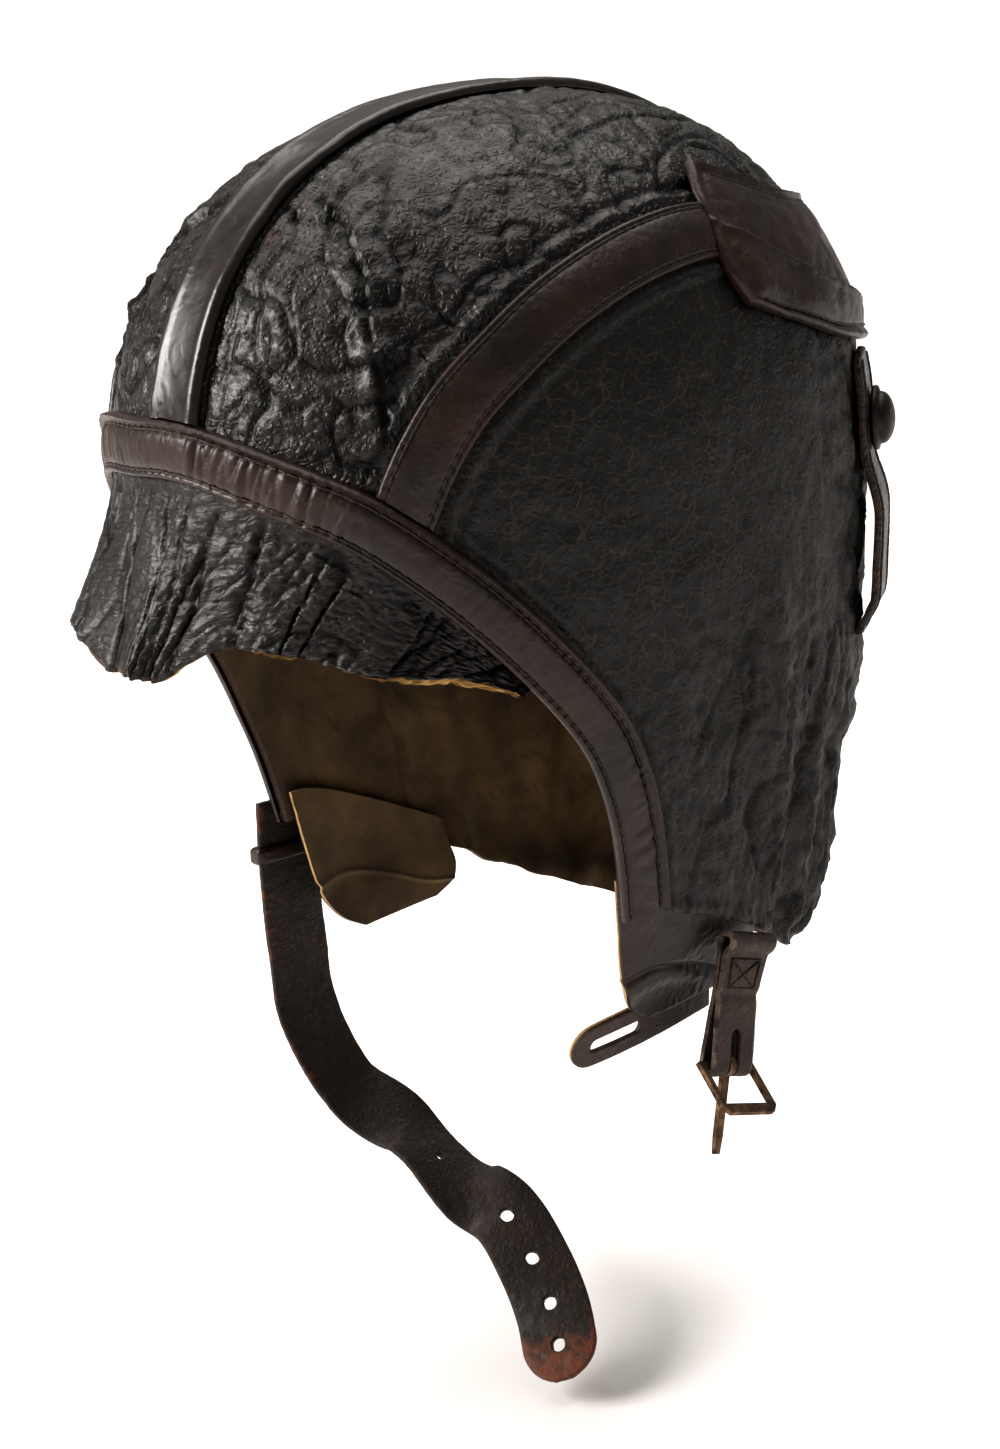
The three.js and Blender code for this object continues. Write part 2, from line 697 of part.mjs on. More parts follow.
function buildBands() {
  const round = bandDirection(wholeFaceLine, FACE_BAND_WIDTH, () => [0, 1]);
  addBand("face_band", FACE_BAND_FACETS, round, BAND_LEATHER);
  const archRange = (offset) => [
    railEnd(seamLine, offset, 0, clearOfFaceBand),
    railEnd(seamLine, offset, 1, clearOfPatch),
  ];
  const arch = bandDirection(seamLine, ARCH_BAND_WIDTH, archRange);
  const facets = [ARCH_BAND_FACETS, bandCount];
  addPair("arch_band", facets, arch, () => BAND_LIFT, bandUpper(STRIP_LEATHER), LEATHER_BROWN);
  const crest = new THREE.CatmullRomCurve3(
    [0, 0.2, 0.4, 0.6, 0.8, 1].map((t) => {
      const angle = radians(THREE.MathUtils.lerp(FACE_LINE[0].elevation, 180 - SEAM_AT_BACK.elevation, t));
      return new THREE.Vector3(0, -Math.cos(angle), Math.sin(angle));
    }),
  );
  const stripRange = (offset) => [
    railEnd(crest, offset, 0, clearOfFaceBand),
    railEnd(crest, offset, 1, clearOfPatch),
  ];
  addBand("centre_strip", STRIP_FACETS, bandDirection(crest, STRIP_WIDTH, stripRange), STRIP_LEATHER);
}

// Rear patch over the ends of the bands, with a padded middle
function buildRearPatch() {
  const half = (rows) => lineThrough([...rows, ...mirroredRows(rows.slice(0, -1)).reverse()]);
  const top = half(PATCH_TOP);
  const bottom = half(PATCH_BOTTOM);
  const left = lineThrough(PATCH_FRONT);
  const right = lineThrough(mirroredRows(PATCH_FRONT));
  const at = (line) => (t) => line.getPointAt(t);
  const directionAt = (u, v) => spread(at(top), at(bottom), at(left), at(right), u, v).normalize();
  const upper = (u, v) => {
    const edge = Math.min(v, 1 - v, u * 4, (1 - u) * 4);
    return PATCH_LIFT + PATCH_LEATHER * THREE.MathUtils.lerp(0.55, 1, smoothStep(0, 0.2, edge));
  };
  const geometry = leatherGeometry(...PATCH_FACETS, directionAt, () => PATCH_LIFT, upper);
  addPiece("rear_patch", geometry, LEATHER_BROWN);
}

// Brow flap and its lining hang from under the lower half of the face band
function browPoint(along, share, depth, extra) {
  const place = (along + 1) / 2;
  const azimuth = azimuthOf(wholeFaceLine.getPointAt(place));
  const value = (column) => readTable(BROW, "azimuth", azimuth, column);
  const tuck = SEAM_GAP - FACE_BAND_WIDTH / 2;
  if (share <= FLAP_HIDDEN) {
    const offset = THREE.MathUtils.lerp(-SEAM_GAP / 2, tuck, share / FLAP_HIDDEN);
    return leatherPoint(beside(wholeFaceLine, place, offset), depth);
  }
  const hinge = beside(wholeFaceLine, place, tuck);
  const point = leatherPoint(hinge, depth);
  const outward = wallNormal(settled(hinge));
  const further = wallPoint(settled(beside(wholeFaceLine, place, tuck - 1)));
  const down = further.sub(wallPoint(settled(hinge))).normalize();
  const free = (share - FLAP_HIDDEN) / (1 - FLAP_HIDDEN);
  const step = (free * (value("length") + value("lining") * extra)) / BROW_BENDS;
  for (let i = 0; i < BROW_BENDS; i += 1) {
    const bend = radians(value("lean")) * smoothStep(-0.6, 0.9, (free * (i + 0.5)) / BROW_BENDS);
    point.addScaledVector(down, step * Math.cos(bend)).addScaledVector(outward, step * Math.sin(bend));
  }
  const wave = BROW_WAVE * free * free * Math.cos(BROW_WAVES * Math.PI * along);
  return point.addScaledVector(outward, wave);
}

function browGeometry(reach, lower, upper, extra) {
  const inner = [];
  const outer = [];
  const [rows, columns] = BROW_FACETS;
  for (let i = 0; i <= rows; i += 1) {
    const along = THREE.MathUtils.lerp(-reach, reach, i / rows);
    const places = Array.from({ length: columns + 1 }, (_, j) => j / columns);
    inner.push(places.map((share) => browPoint(along, share, lower, extra)));
    outer.push(places.map((share) => browPoint(along, share, upper, extra)));
  }
  return sheetGeometry(inner, outer);
}

function buildBrow() {
  const flap = browGeometry(FLAP_END - FLAP_SHORT, PANEL_LEATHER - FLAP_LEATHER, PANEL_LEATHER, 0);
  addPiece("brow_flap", flap, LEATHER_DARK);
  const top = PANEL_LEATHER - FLAP_LEATHER - 2 * GAP;
  const lining = browGeometry(FLAP_END - FLAP_SHORT, top - LINING_LEATHER, top, 1);
  addPiece("brow_lining", lining, CHAMOIS);
}

// Goggle straps and their snaps
function buildGoggleStraps() {
  const line = lineThrough(GOGGLE_ELEVATIONS.map((elevation) => ({ azimuth: GOGGLE_AZIMUTH, elevation })));
  const offsetAt = (v) => (v - 0.5) * GOGGLE_WIDTH;
  const standOff = (u) => GOGGLE_STAND_OFF * smoothStep(0.35, 0.6, u) * (1 - smoothStep(0.88, 1, u));
  const lower = (u) => BAND_LIFT + standOff(u);
  const upper = (u) => lower(u) + GOGGLE_LEATHER;
  addPair("goggle_strap", GOGGLE_FACETS, (u, v) => beside(line, u, offsetAt(v)), lower, upper, LEATHER_DARK);
}

function buildGoggleSnap(name, azimuth) {
  const seat = directionOf(azimuth, 0);
  const radius = SNAP_DIAMETER / 2;
  const profile = [
    [0, 0],
    [radius * 0.85, 0],
    [radius, SNAP_HEIGHT * 0.2],
    [radius * 0.95, SNAP_HEIGHT * 0.5],
    [radius * 0.65, SNAP_HEIGHT * 0.85],
    [0, SNAP_HEIGHT],
  ].map(([x, y]) => new THREE.Vector2(x, y));
  const dome = new THREE.LatheGeometry(profile, 14);
  const normal = wallNormal(seat);
  dome.applyQuaternion(new THREE.Quaternion().setFromUnitVectors(new THREE.Vector3(0, 1, 0), normal));
  const place = wallPoint(seat).addScaledVector(normal, BAND_LIFT + GOGGLE_LEATHER + GAP);
  dome.translate(place.x, place.y, place.z);
  addPiece(name, geometryOf(solidOf(dome)), BLACK_METAL);
}

// Chin flaps hang inside the hem
function hemDropAt(back) {
  const azimuth = azimuthOf(directionInSideView(back, NAPE_DROP * 0.78));
  return NAPE_DROP * readTable(HEM, "azimuth", azimuth, "drop");
}

function buildChinFlaps() {
  const directionAt = (u, v) => {
    const front = CHIN_FLAP_FRONT + readTable(CHIN_FLAP_EDGE, "drop", v, "front");
    const rear = CHIN_FLAP_BACK + readTable(CHIN_FLAP_EDGE, "drop", v, "back");
    const back = THREE.MathUtils.lerp(front, rear, u);
    const top = hemDropAt(back) - CHIN_FLAP_TUCK;
    return directionInSideView(back, THREE.MathUtils.lerp(top, CHIN_FLAP_BOTTOM, v));
  };
  const lower = () => CHIN_FLAP_LIFT - FLAP_LEATHER;
  addPair("chin_flap", CHIN_FLAP_FACETS, directionAt, lower, () => CHIN_FLAP_LIFT, LEATHER_BROWN);
}

// Slotted tab, sewn inside the left chin flap and pointing forward
function buildSlottedTab() {
  const slope = radians(SLOT_TAB_SLOPE);
  const half = SLOT_TAB_HEIGHT / 2;
  const roundEnd = (u) => {
    const fromRound = 1 - Math.min(1, (u * SLOT_TAB_LENGTH) / half);
    return Math.sqrt(Math.max(0.08, 1 - fromRound ** 2));
  };
  const directionAt = (u, v) => {
    const along = u * SLOT_TAB_LENGTH;
    const height = (v - 0.5) * SLOT_TAB_HEIGHT * roundEnd(u);
    const back = SLOT_TAB_BACK + along * Math.cos(slope) + height * Math.sin(slope);
    return directionInSideView(back, SLOT_TAB_DROP + along * Math.sin(slope) - height * Math.cos(slope));
  };
  const outer = CHIN_FLAP_LIFT - FLAP_LEATHER - GAP;
  const stations = [0, 0.012, 0.04, 0.085, 0.14, 0.25, 0.4, 0.55, 0.7, 0.85, 1];
  const at = (lift) => stations.map((u) => [0, 0.5, 1].map((v) => leatherPoint(directionAt(u, v), lift)));
  const blank = sheetGeometry(at(outer - SLOT_TAB_LEATHER), at(outer));
  const middle = half + SLOT_LENGTH / 2;
  const slotPlace = leatherPoint(directionAt(middle / SLOT_TAB_LENGTH, 0.5), outer);
  const before = leatherPoint(directionAt((middle - 4) / SLOT_TAB_LENGTH, 0.5), outer);
  const round = new THREE.Shape();
  const straight = (SLOT_LENGTH - SLOT_HEIGHT) / 2;
  round.absarc(straight, 0, SLOT_HEIGHT / 2, -Math.PI / 2, Math.PI / 2, false);
  round.absarc(-straight, 0, SLOT_HEIGHT / 2, Math.PI / 2, (3 * Math.PI) / 2, false);
  const slot = new THREE.ExtrudeGeometry(round, { depth: 20, bevelEnabled: false, curveSegments: 5 });
  slot.translate(0, 0, -10);
  const along = slotPlace.clone().sub(before).normalize();
  const outward = wallNormal(slotPlace.clone().normalize());
  const sideways = outward.clone().cross(along).normalize();
  slot.applyMatrix4(new THREE.Matrix4().makeBasis(along, sideways, along.clone().cross(sideways)));
  slot.translate(slotPlace.x, slotPlace.y, slotPlace.z);
  addPiece("slotted_tab", cut(blank, [slot]), CHAMOIS);
}

// Buckle: its group stands on the middle of the frame's rear bar, leaning with the tab
const tabFace = leatherPoint(directionInSideView(BAR_BACK + 8, CHIN_FLAP_BOTTOM - 18), 0);
const buckle = new THREE.Group();
buckle.position.set(tabFace.x + 2 * GAP + FOLD_RADIUS, BAR_BACK, -BAR_DROP);
buckle.rotation.x = -radians(TAB_LEAN);
helmet.add(buckle);

function extrudedAcross(shape, width, segments) {
  const settings = { depth: width, bevelEnabled: false, curveSegments: segments };
  const geometry = new THREE.ExtrudeGeometry(shape, settings);
  geometry.rotateX(Math.PI / 2);
  geometry.translate(0, width / 2, 0);
  return geometry;
}

function buildBuckleTab() {
  const side = new THREE.Shape();
  const back = -FOLD_RADIUS;
  const top = TAB_LENGTH - 2;
  side.absarc(0, 0, FOLD_RADIUS, Math.PI, 2 * Math.PI, false);
  side.lineTo(FOLD_RADIUS * 0.75, 12);
  side.lineTo(FOLD_RADIUS * 0.6, TAB_LENGTH * 0.55);
  side.lineTo(FOLD_RADIUS * 0.9, top - TAB_LIP);
  side.lineTo(FOLD_RADIUS * 1.3, top - TAB_LIP * 0.6);
  side.lineTo(FOLD_RADIUS * 1.3, top - TAB_LIP * 0.15);
  side.lineTo(FOLD_RADIUS * 0.8, top);
  side.lineTo(back, top);
  side.lineTo(back, 0);
  const bore = new THREE.Path();
  bore.absarc(0, 0, BORE_RADIUS, 0, 2 * Math.PI, true);
  side.holes.push(bore);
  const blank = extrudedAcross(side, TAB_TOP_WIDTH, 6);
  const position = blank.attributes.position;
  for (let i = 0; i < position.count; i += 1) {
    const share = THREE.MathUtils.clamp(position.getZ(i) / TAB_LENGTH, 0, 1);
    const width = THREE.MathUtils.lerp(TAB_WIDTH, TAB_TOP_WIDTH, smoothStep(0.5, 1, share));
    position.setY(i, (position.getY(i) * width) / TAB_TOP_WIDTH);
  }
  const slotWidth = PRONG_WIDTH + 2 * GAP + 0.8;
  const slotTop = 10;
  const slot = new THREE.BoxGeometry(4 * FOLD_RADIUS, slotWidth, slotTop + 3 * FOLD_RADIUS);
  slot.translate(1.4 * FOLD_RADIUS, 0, slotTop / 2 - 1.5 * FOLD_RADIUS);
  const eye = BORE_RADIUS + PRONG_THICKNESS;
  const under = new THREE.BoxGeometry(4 * FOLD_RADIUS, slotWidth, 3 * FOLD_RADIUS + eye);
  under.translate(0, 0, eye / 2 - 1.5 * FOLD_RADIUS);
  addPiece("buckle_tab", cut(blank, [slot, under]), LEATHER_TAB, buckle);
}

function buildBuckleFrame() {
  const inside = TAB_WIDTH / 2 + FRAME_SIDE_GAP;
  const outside = inside + BAR_WIDTH;
  const half = BAR_WIDTH / 2;
  const corner = WIRE_WIDTH * 0.8;
  const outline = new THREE.Shape();
  outline.moveTo(-outside, half);
  outline.lineTo(-outside, corner - FRAME_LENGTH);
  outline.lineTo(corner - outside, -FRAME_LENGTH);
  outline.lineTo(outside - corner, -FRAME_LENGTH);
  outline.lineTo(outside, corner - FRAME_LENGTH);
  outline.lineTo(outside, half);
  outline.closePath();
  const opening = new THREE.Path();
  opening.moveTo(-inside, -half);
  opening.lineTo(inside, -half);
  opening.lineTo(inside, WIRE_WIDTH - FRAME_LENGTH);
  opening.lineTo(-inside, WIRE_WIDTH - FRAME_LENGTH);
  opening.closePath();
  outline.holes.push(opening);
  const frame = new THREE.ExtrudeGeometry(outline, { depth: WIRE_THICKNESS, bevelEnabled: false });
  frame.translate(0, 0, -WIRE_THICKNESS / 2);
  frame.rotateX(Math.PI / 2);
  frame.rotateZ(Math.PI / 2);
  const piece = addPiece("buckle_frame", frame, RUSTY_BRASS, buckle);
  piece.rotation.y = -radians(FRAME_SWING);
}

function buildBuckleProng() {
  const eye = new THREE.Shape();
  const outer = BORE_RADIUS + PRONG_THICKNESS;
  const half = PRONG_THICKNESS / 2;
  const joined = Math.asin(half / outer);
  eye.absarc(0, 0, outer, -Math.PI / 2 + joined, (3 * Math.PI) / 2 - joined, false);
  eye.lineTo(-half, -PRONG_LENGTH * 0.8);
  eye.lineTo(-half * 0.4, -PRONG_LENGTH);
  eye.lineTo(half * 0.4, -PRONG_LENGTH);
  eye.lineTo(half, -PRONG_LENGTH * 0.8);
  eye.closePath();
  const bore = new THREE.Path();
  bore.absarc(0, 0, BORE_RADIUS, 0, 2 * Math.PI, true);
  eye.holes.push(bore);
  const prong = extrudedAcross(eye, PRONG_WIDTH, 8);
  const piece = addPiece("buckle_prong", prong, RUSTY_BRASS, buckle);
  piece.rotation.y = -radians(PRONG_SWING);
}

// Chin strap on the right, its keeper and its rivet
const strapSeat = directionInSideView(STRAP_BACK, STRAP_TOP);
const strapStart = leatherPoint(strapSeat, STRAP_LIFT + STRAP_LEATHER / 2);
strapStart.x = -strapStart.x;
const strapLine = new THREE.CatmullRomCurve3(
  STRAP_ROUTE.map((row) => {
    const place = new THREE.Vector3(row.across, row.back, row.up);
    return place.multiplyScalar(STRAP_LENGTH).add(strapStart);
  }),
);

function strapFrame(along) {
  const row = along * (STRAP_ROUTE.length - 1);
  const index = Math.min(Math.floor(row), STRAP_ROUTE.length - 2);
  const turn = THREE.MathUtils.lerp(STRAP_ROUTE[index].turn, STRAP_ROUTE[index + 1].turn, row - index);
  const tangent = strapLine.getTangent(along);
  const face = new THREE.Vector3(1, 0, 0).lerp(STRAP_FRONT_FACE, turn);
  face.addScaledVector(tangent, -face.dot(tangent)).normalize();
  const width = tangent.clone().cross(face).normalize();
  return { place: strapLine.getPoint(along), face, width };
}

function buildChinStrap() {
  const steps = CHIN_STRAP_FACETS;
  const inner = [];
  const outer = [];
  for (let i = 0; i <= steps; i += 1) {
    const { place, face, width } = strapFrame(i / steps);
    const fromEnd = (1 - i / steps) * STRAP_LENGTH;
    const round = Math.sqrt(Math.max(0.2, 1 - (1 - Math.min(1, fromEnd / (STRAP_WIDTH * 0.55))) ** 2));
    const at = (share, depth) => {
      const sideways = place.clone().addScaledVector(width, share * STRAP_WIDTH * round);
      return sideways.addScaledVector(face, depth * STRAP_LEATHER);
    };
    inner.push([at(-0.5, -0.5), at(0, -0.5), at(0.5, -0.5)]);
    outer.push([at(-0.5, 0.5), at(0, 0.5), at(0.5, 0.5)]);
  }
  const holes = STRAP_HOLES.map((along) => {
    const { place, face } = strapFrame(along);
    const punch = new THREE.CylinderGeometry(STRAP_HOLE / 2, STRAP_HOLE / 2, 3 * STRAP_LEATHER, 8);
    punch.applyQuaternion(new THREE.Quaternion().setFromUnitVectors(new THREE.Vector3(0, 1, 0), face));
    return punch.translate(place.x, place.y, place.z);
  });
  addPiece("chin_strap", cut(sheetGeometry(inner, outer), holes), SUEDE);
}

function buildStrapKeeper() {
  const { place, face, width } = strapFrame(KEEPER_PLACE);
  const halfWidth = STRAP_WIDTH / 2 + GAP;
  const halfDepth = STRAP_LEATHER / 2 + GAP;
  const rectangle = (target, w, d) => {
    target.moveTo(-w, -d);
    target.lineTo(w, -d);
    target.lineTo(w, d);
    target.lineTo(-w, d);
    target.closePath();
  };
  const loop = new THREE.Shape();
  rectangle(loop, halfWidth + KEEPER_LEATHER, halfDepth + KEEPER_LEATHER);
  const inside = new THREE.Path();
  rectangle(inside, halfWidth, halfDepth);
  loop.holes.push(inside);
  const keeper = new THREE.ExtrudeGeometry(loop, { depth: KEEPER_HEIGHT, bevelEnabled: false });
  keeper.translate(0, 0, -KEEPER_HEIGHT / 2);
  keeper.applyMatrix4(new THREE.Matrix4().makeBasis(width, face, width.clone().cross(face)));
  keeper.translate(place.x, place.y, place.z);
  addPiece("strap_keeper", keeper, LEATHER_BROWN);
}

function buildStrapRivet() {
  const { place, face } = strapFrame(RIVET_PLACE);
  const radius = RIVET_DIAMETER / 2;
  const profile = [
    [0, 0],
    [radius, 0],
    [radius, RIVET_HEIGHT * 0.35],
    [radius * 0.7, RIVET_HEIGHT * 0.8],
    [0, RIVET_HEIGHT],
  ].map(([x, y]) => new THREE.Vector2(x, y));
  const rivet = new THREE.LatheGeometry(profile, 12);
  const outward = face.clone().negate();
  rivet.applyQuaternion(new THREE.Quaternion().setFromUnitVectors(new THREE.Vector3(0, 1, 0), outward));
  const seat = place.clone().addScaledVector(outward, STRAP_LEATHER / 2 + GAP);
  rivet.translate(seat.x, seat.y, seat.z);
  addPiece("strap_rivet", geometryOf(solidOf(rivet)), BLACK_METAL);
}

buildCrownPanels();
buildSidePanels();
buildBands();
buildRearPatch();
buildBrow();
buildGoggleStraps();
buildGoggleSnap("goggle_snap_left", GOGGLE_AZIMUTH);
buildGoggleSnap("goggle_snap_right", -GOGGLE_AZIMUTH);
buildChinFlaps();
buildSlottedTab();
buildBuckleTab();
buildBuckleFrame();
buildBuckleProng();
buildChinStrap();
buildStrapKeeper();
buildStrapRivet();

export default helmet;
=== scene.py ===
"""Dresses the leather flying helmet: its hides, bands, stitching, straps and hardware.

Lengths are in millimetres from the middle of the head's widest level, as in the part's source,
until form.place turns them into metres in the part's frame.
"""

import logging
import math
from dataclasses import dataclass, field
from enum import Enum
from functools import partial
from itertools import product
from typing import Callable, Sequence

import bpy
import numpy as np
from mathutils import Matrix, Vector

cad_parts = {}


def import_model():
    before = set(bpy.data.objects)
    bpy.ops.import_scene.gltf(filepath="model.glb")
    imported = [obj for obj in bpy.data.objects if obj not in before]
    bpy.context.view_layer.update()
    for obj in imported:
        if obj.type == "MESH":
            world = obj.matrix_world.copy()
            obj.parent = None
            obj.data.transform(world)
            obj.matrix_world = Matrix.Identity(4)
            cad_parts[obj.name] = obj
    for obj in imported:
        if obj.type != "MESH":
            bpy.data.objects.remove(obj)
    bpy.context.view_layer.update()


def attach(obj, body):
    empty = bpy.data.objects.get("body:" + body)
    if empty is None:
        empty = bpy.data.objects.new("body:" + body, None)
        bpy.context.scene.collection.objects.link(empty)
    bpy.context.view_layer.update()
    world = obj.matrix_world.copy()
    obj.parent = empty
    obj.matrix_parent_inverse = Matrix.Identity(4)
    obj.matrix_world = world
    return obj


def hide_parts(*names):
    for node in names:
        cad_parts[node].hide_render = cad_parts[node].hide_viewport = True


MM = 0.001
Shares = Callable[[np.ndarray], np.ndarray]
Ripple = Callable[[np.ndarray, np.ndarray, np.ndarray], np.ndarray]
Adder = Callable[..., bpy.types.Node]
log = logging.getLogger("flying_helmet")


class Hand(Enum):
    """Side of the wearer, with the sign of its X."""

    LEFT = 1
    RIGHT = -1


class Face(Enum):
    """Sides of a piece of leather, with the place of each one's material."""

    GRAIN = 0
    FLESH = 1
    EDGE = 2


@dataclass(frozen=True)
class Table:
    """Short table whose first column is its key.

    Attributes:
        columns: Names of the columns, parted by spaces.
        rows: The numbers, with the key rising from row to row.
    """

    columns: str
    rows: tuple[tuple[float, ...], ...]

    def column(self, name: str) -> np.ndarray:
        """Returns one column by its name."""
        return np.array(self.rows, float)[:, self.columns.split().index(name)]

    def read(self, at: np.ndarray | float, name: str) -> np.ndarray:
        """Reads a column between the rows, on a smooth curve.

        Args:
            at: Keys to read at.
            name: Column to read.

        Returns:
            The column's value at each key.
        """
        keys, values = self.column(self.columns.split()[0]), self.column(name)
        place = np.clip(np.asarray(at, float), keys[0], keys[-1])
        row = np.clip(np.searchsorted(keys, place) - 1, 0, len(keys) - 2)
        slopes = np.diff(values) / np.diff(keys)
        step, middle = keys[row + 1] - keys[row], slopes[row]
        start = np.where(row > 0, (slopes[np.maximum(row - 1, 0)] + middle) / 2, middle)
        after = np.minimum(row + 1, len(slopes) - 1)
        end = np.where(row < len(keys) - 2, (slopes[after] + middle) / 2, middle)
        t = (place - keys[row]) / step
        h1, h2, h3 = 2 * t**3 - 3 * t**2 + 1, t**3 - 2 * t**2 + t, t**3 - t**2
        return h1 * values[row] + h2 * step * start + (1 - h1) * values[row + 1] + h3 * step * end


# The head below its widest level: shares of the widest level's sizes
BELOW = Table(
    "angle side front back",
    (
        (0, 1.0, 1.0, 1.0),
        (15, 0.995, 0.995, 0.995),
        (30, 0.965, 0.965, 0.972),
        (42, 0.93, 0.93, 0.93),
        (47, 0.905, 0.905, 0.86),
        (55, 0.862, 0.862, 0.825),
        (58, 0.843, 0.845, 0.8),
        (62, 0.81, 0.815, 0.73),
        (66, 0.75, 0.785, 0.61),
        (72, 0.69, 0.74, 0.5),
    ),
)
HEM = Table(
    "azimuth drop",
    (
        (60, 0.69),
        (68, 0.7),
        (84, 0.755),
        (99, 0.815),
        (118, 0.9),
        (137, 0.963),
        (160, 0.993),
        (180, 1.0),
    ),
)
FACE_LINE = Table(
    "azimuth elevation",
    (
        (0, 11.5),
        (15, 8.5),
        (28, 3),
        (38, -5.5),
        (46, -14.5),
        (54, -25),
        (60, -34),
        (63.5, -42),
        (65.5, -49),
        (66.5, -55.5),
    ),
)
CROWN_SEAM = Table(
    "azimuth elevation",
    (
        (32, 0.5),
        (36.5, 10),
        (41.5, 17.5),
        (49, 24.5),
        (56.5, 30),
        (66.5, 35),
        (80.5, 39),
        (97.5, 40),
        (118, 35),
    ),
)
SEAM_AT_BACK = (180.0, 18.0)
RIGHT_RISE = Table(
    "azimuth rise",
    ((0, 0), (8, 0.9), (18, 3.4), (28, 5.2), (40, 4.4), (52, 1.6), (62, 0)),
)
RISE_FADES = (14.0, 52.0)
PATCH_TOP = Table(
    "azimuth elevation",
    ((107, 51), (116, 47.5), (126, 42.5), (136, 38), (157, 32), (180, 30)),
)
PATCH_BOTTOM = Table(
    "azimuth elevation", ((100, 27), (112, 22), (129, 15), (155, 9), (180, 7))
)
PATCH_FRONT = Table(
    "elevation azimuth", ((27, 100), (31, 98), (35, 97.5), (40, 99), (46, 101.5), (51, 107))
)
CHIN_FLAP_EDGE = Table(
    "drop front back",
    ((0, 0, 0), (0.35, 1.5, 0), (0.7, 4, -0.5), (0.9, 9, -4), (1, 16, -10)),
)
# Folds of the leather: a height above zero is a ridge, below zero a groove
FOLDS = Table(
    "azimuth elevation to_azimuth to_elevation width height",
    (
        (24, 44, 31, 24, 3.2, 1.3),
        (31, 24, 31, 14, 3.4, 1.5),
        (18, 42, 24, 24, 9, -1.4),
        (36, 40, 38, 27, 8, -1.2),
        (118, 36, 180, 20, 24, -1.9),
        (62, 10, 76, -6, 9, -1.0),
        (84, -36, 100, -50, 8, -1.6),
        (100, -22, 106, -48, 6, 1.2),
    ),
)
BROW = Table(
    "azimuth length lean lining",
    (
        (-52, 2, 8, 0),
        (-44, 13, 14, 0),
        (-36, 30, 20, 0),
        (-28, 38.2, 25, 0),
        (-20, 42, 26, 0),
        (-12, 48.8, 25, 0),
        (-4, 48.5, 24, 0),
        (3, 48.2, 23, 0),
        (8, 47.5, 21, 0),
        (12, 40.7, 20, 0),
        (16, 34.5, 18, 0),
        (20, 31.5, 17, 0.6),
        (26, 29.5, 16, 1.2),
        (31, 28, 15, 0),
        (36, 24.5, 14, 0.4),
        (42, 17, 12, 1.8),
        (47, 8.5, 10, 2.2),
        (52, 2.2, 6, 1),
    ),
)
# Route of the chin strap from its sewn end, in shares of its length, and its turn to the front
STRAP_ROUTE = Table(
    "across back up turn",
    (
        (0, 0, 0, 0),
        (0, -0.008, -0.104, 0),
        (0.002, -0.011, -0.215, 0),
        (0.012, -0.013, -0.314, 0),
        (0.064, 0.003, -0.42, -0.25),
        (0.156, 0.032, -0.478, -0.2),
        (0.258, 0.035, -0.535, 0.1),
        (0.326, 0.04, -0.557, 0.45),
        (0.394, 0.022, -0.597, 0.6),
        (0.454, -0.006, -0.64, 0.85),
        (0.519, -0.057, -0.693, 1),
    ),
)


def unit(vectors: np.ndarray) -> np.ndarray:
    """Returns vectors of the same directions and length 1."""
    return vectors / np.linalg.norm(vectors, axis=-1, keepdims=True)


def smooth_step(low: float, high: float, at: np.ndarray) -> np.ndarray:
    """Returns 0 up to low, 1 from high on and a smooth rise between them."""
    t = np.clip((at - low) / (high - low), 0, 1)
    return t * t * (3 - 2 * t)


def hump(distance: np.ndarray, width: float) -> np.ndarray:
    """Returns a bell of height 1 over distance 0, with the given half width."""
    return np.exp(-((distance / width) ** 2))


def azimuth_of(points: np.ndarray) -> np.ndarray:
    """Returns the angle of points from the front to the left, in degrees."""
    return np.degrees(np.arctan2(points[..., 0], -points[..., 1]))


def elevation_of(points: np.ndarray) -> np.ndarray:
    """Returns the angle of points above the widest level, in degrees."""
    return np.degrees(np.arctan2(points[..., 2], np.hypot(points[..., 0], points[..., 1])))


def direction_of(azimuth: np.ndarray | float, elevation: np.ndarray | float) -> np.ndarray:
    """Finds directions.

    Args:
        azimuth: Angles from the front to the left, in degrees.
        elevation: Angles above the widest level, in degrees.

    Returns:
        Unit vectors.
    """
    turn, rise = np.radians(azimuth), np.radians(elevation)
    parts = [np.sin(turn) * np.cos(rise), -np.cos(turn) * np.cos(rise), np.sin(rise)]
    return np.stack(np.broadcast_arrays(*parts), axis=-1)


def repeated(values: np.ndarray | float, like: np.ndarray) -> np.ndarray:
    """Returns values repeated over the shape that they make with another array."""
    return np.broadcast_to(values, np.broadcast_shapes(np.shape(values), like.shape)).astype(float)


def bent_by(
    noise: "Noise", points: np.ndarray, amount: float, apart: float, size: float
) -> np.ndarray:
    """Moves points about by noise, so that patterns read there wander.

    Args:
        noise: Noise that moves them.
        points: Places in millimetres.
        amount: How far they move for noise of 1, in millimetres.
        apart: Distance between the places that the three directions are read at.
        size: Width of one lump in millimetres.

    Returns:
        The moved points.
    """
    shift = [noise.at(points + index * apart, size) for index in range(3)]
    return points + amount * np.stack(shift, axis=-1)


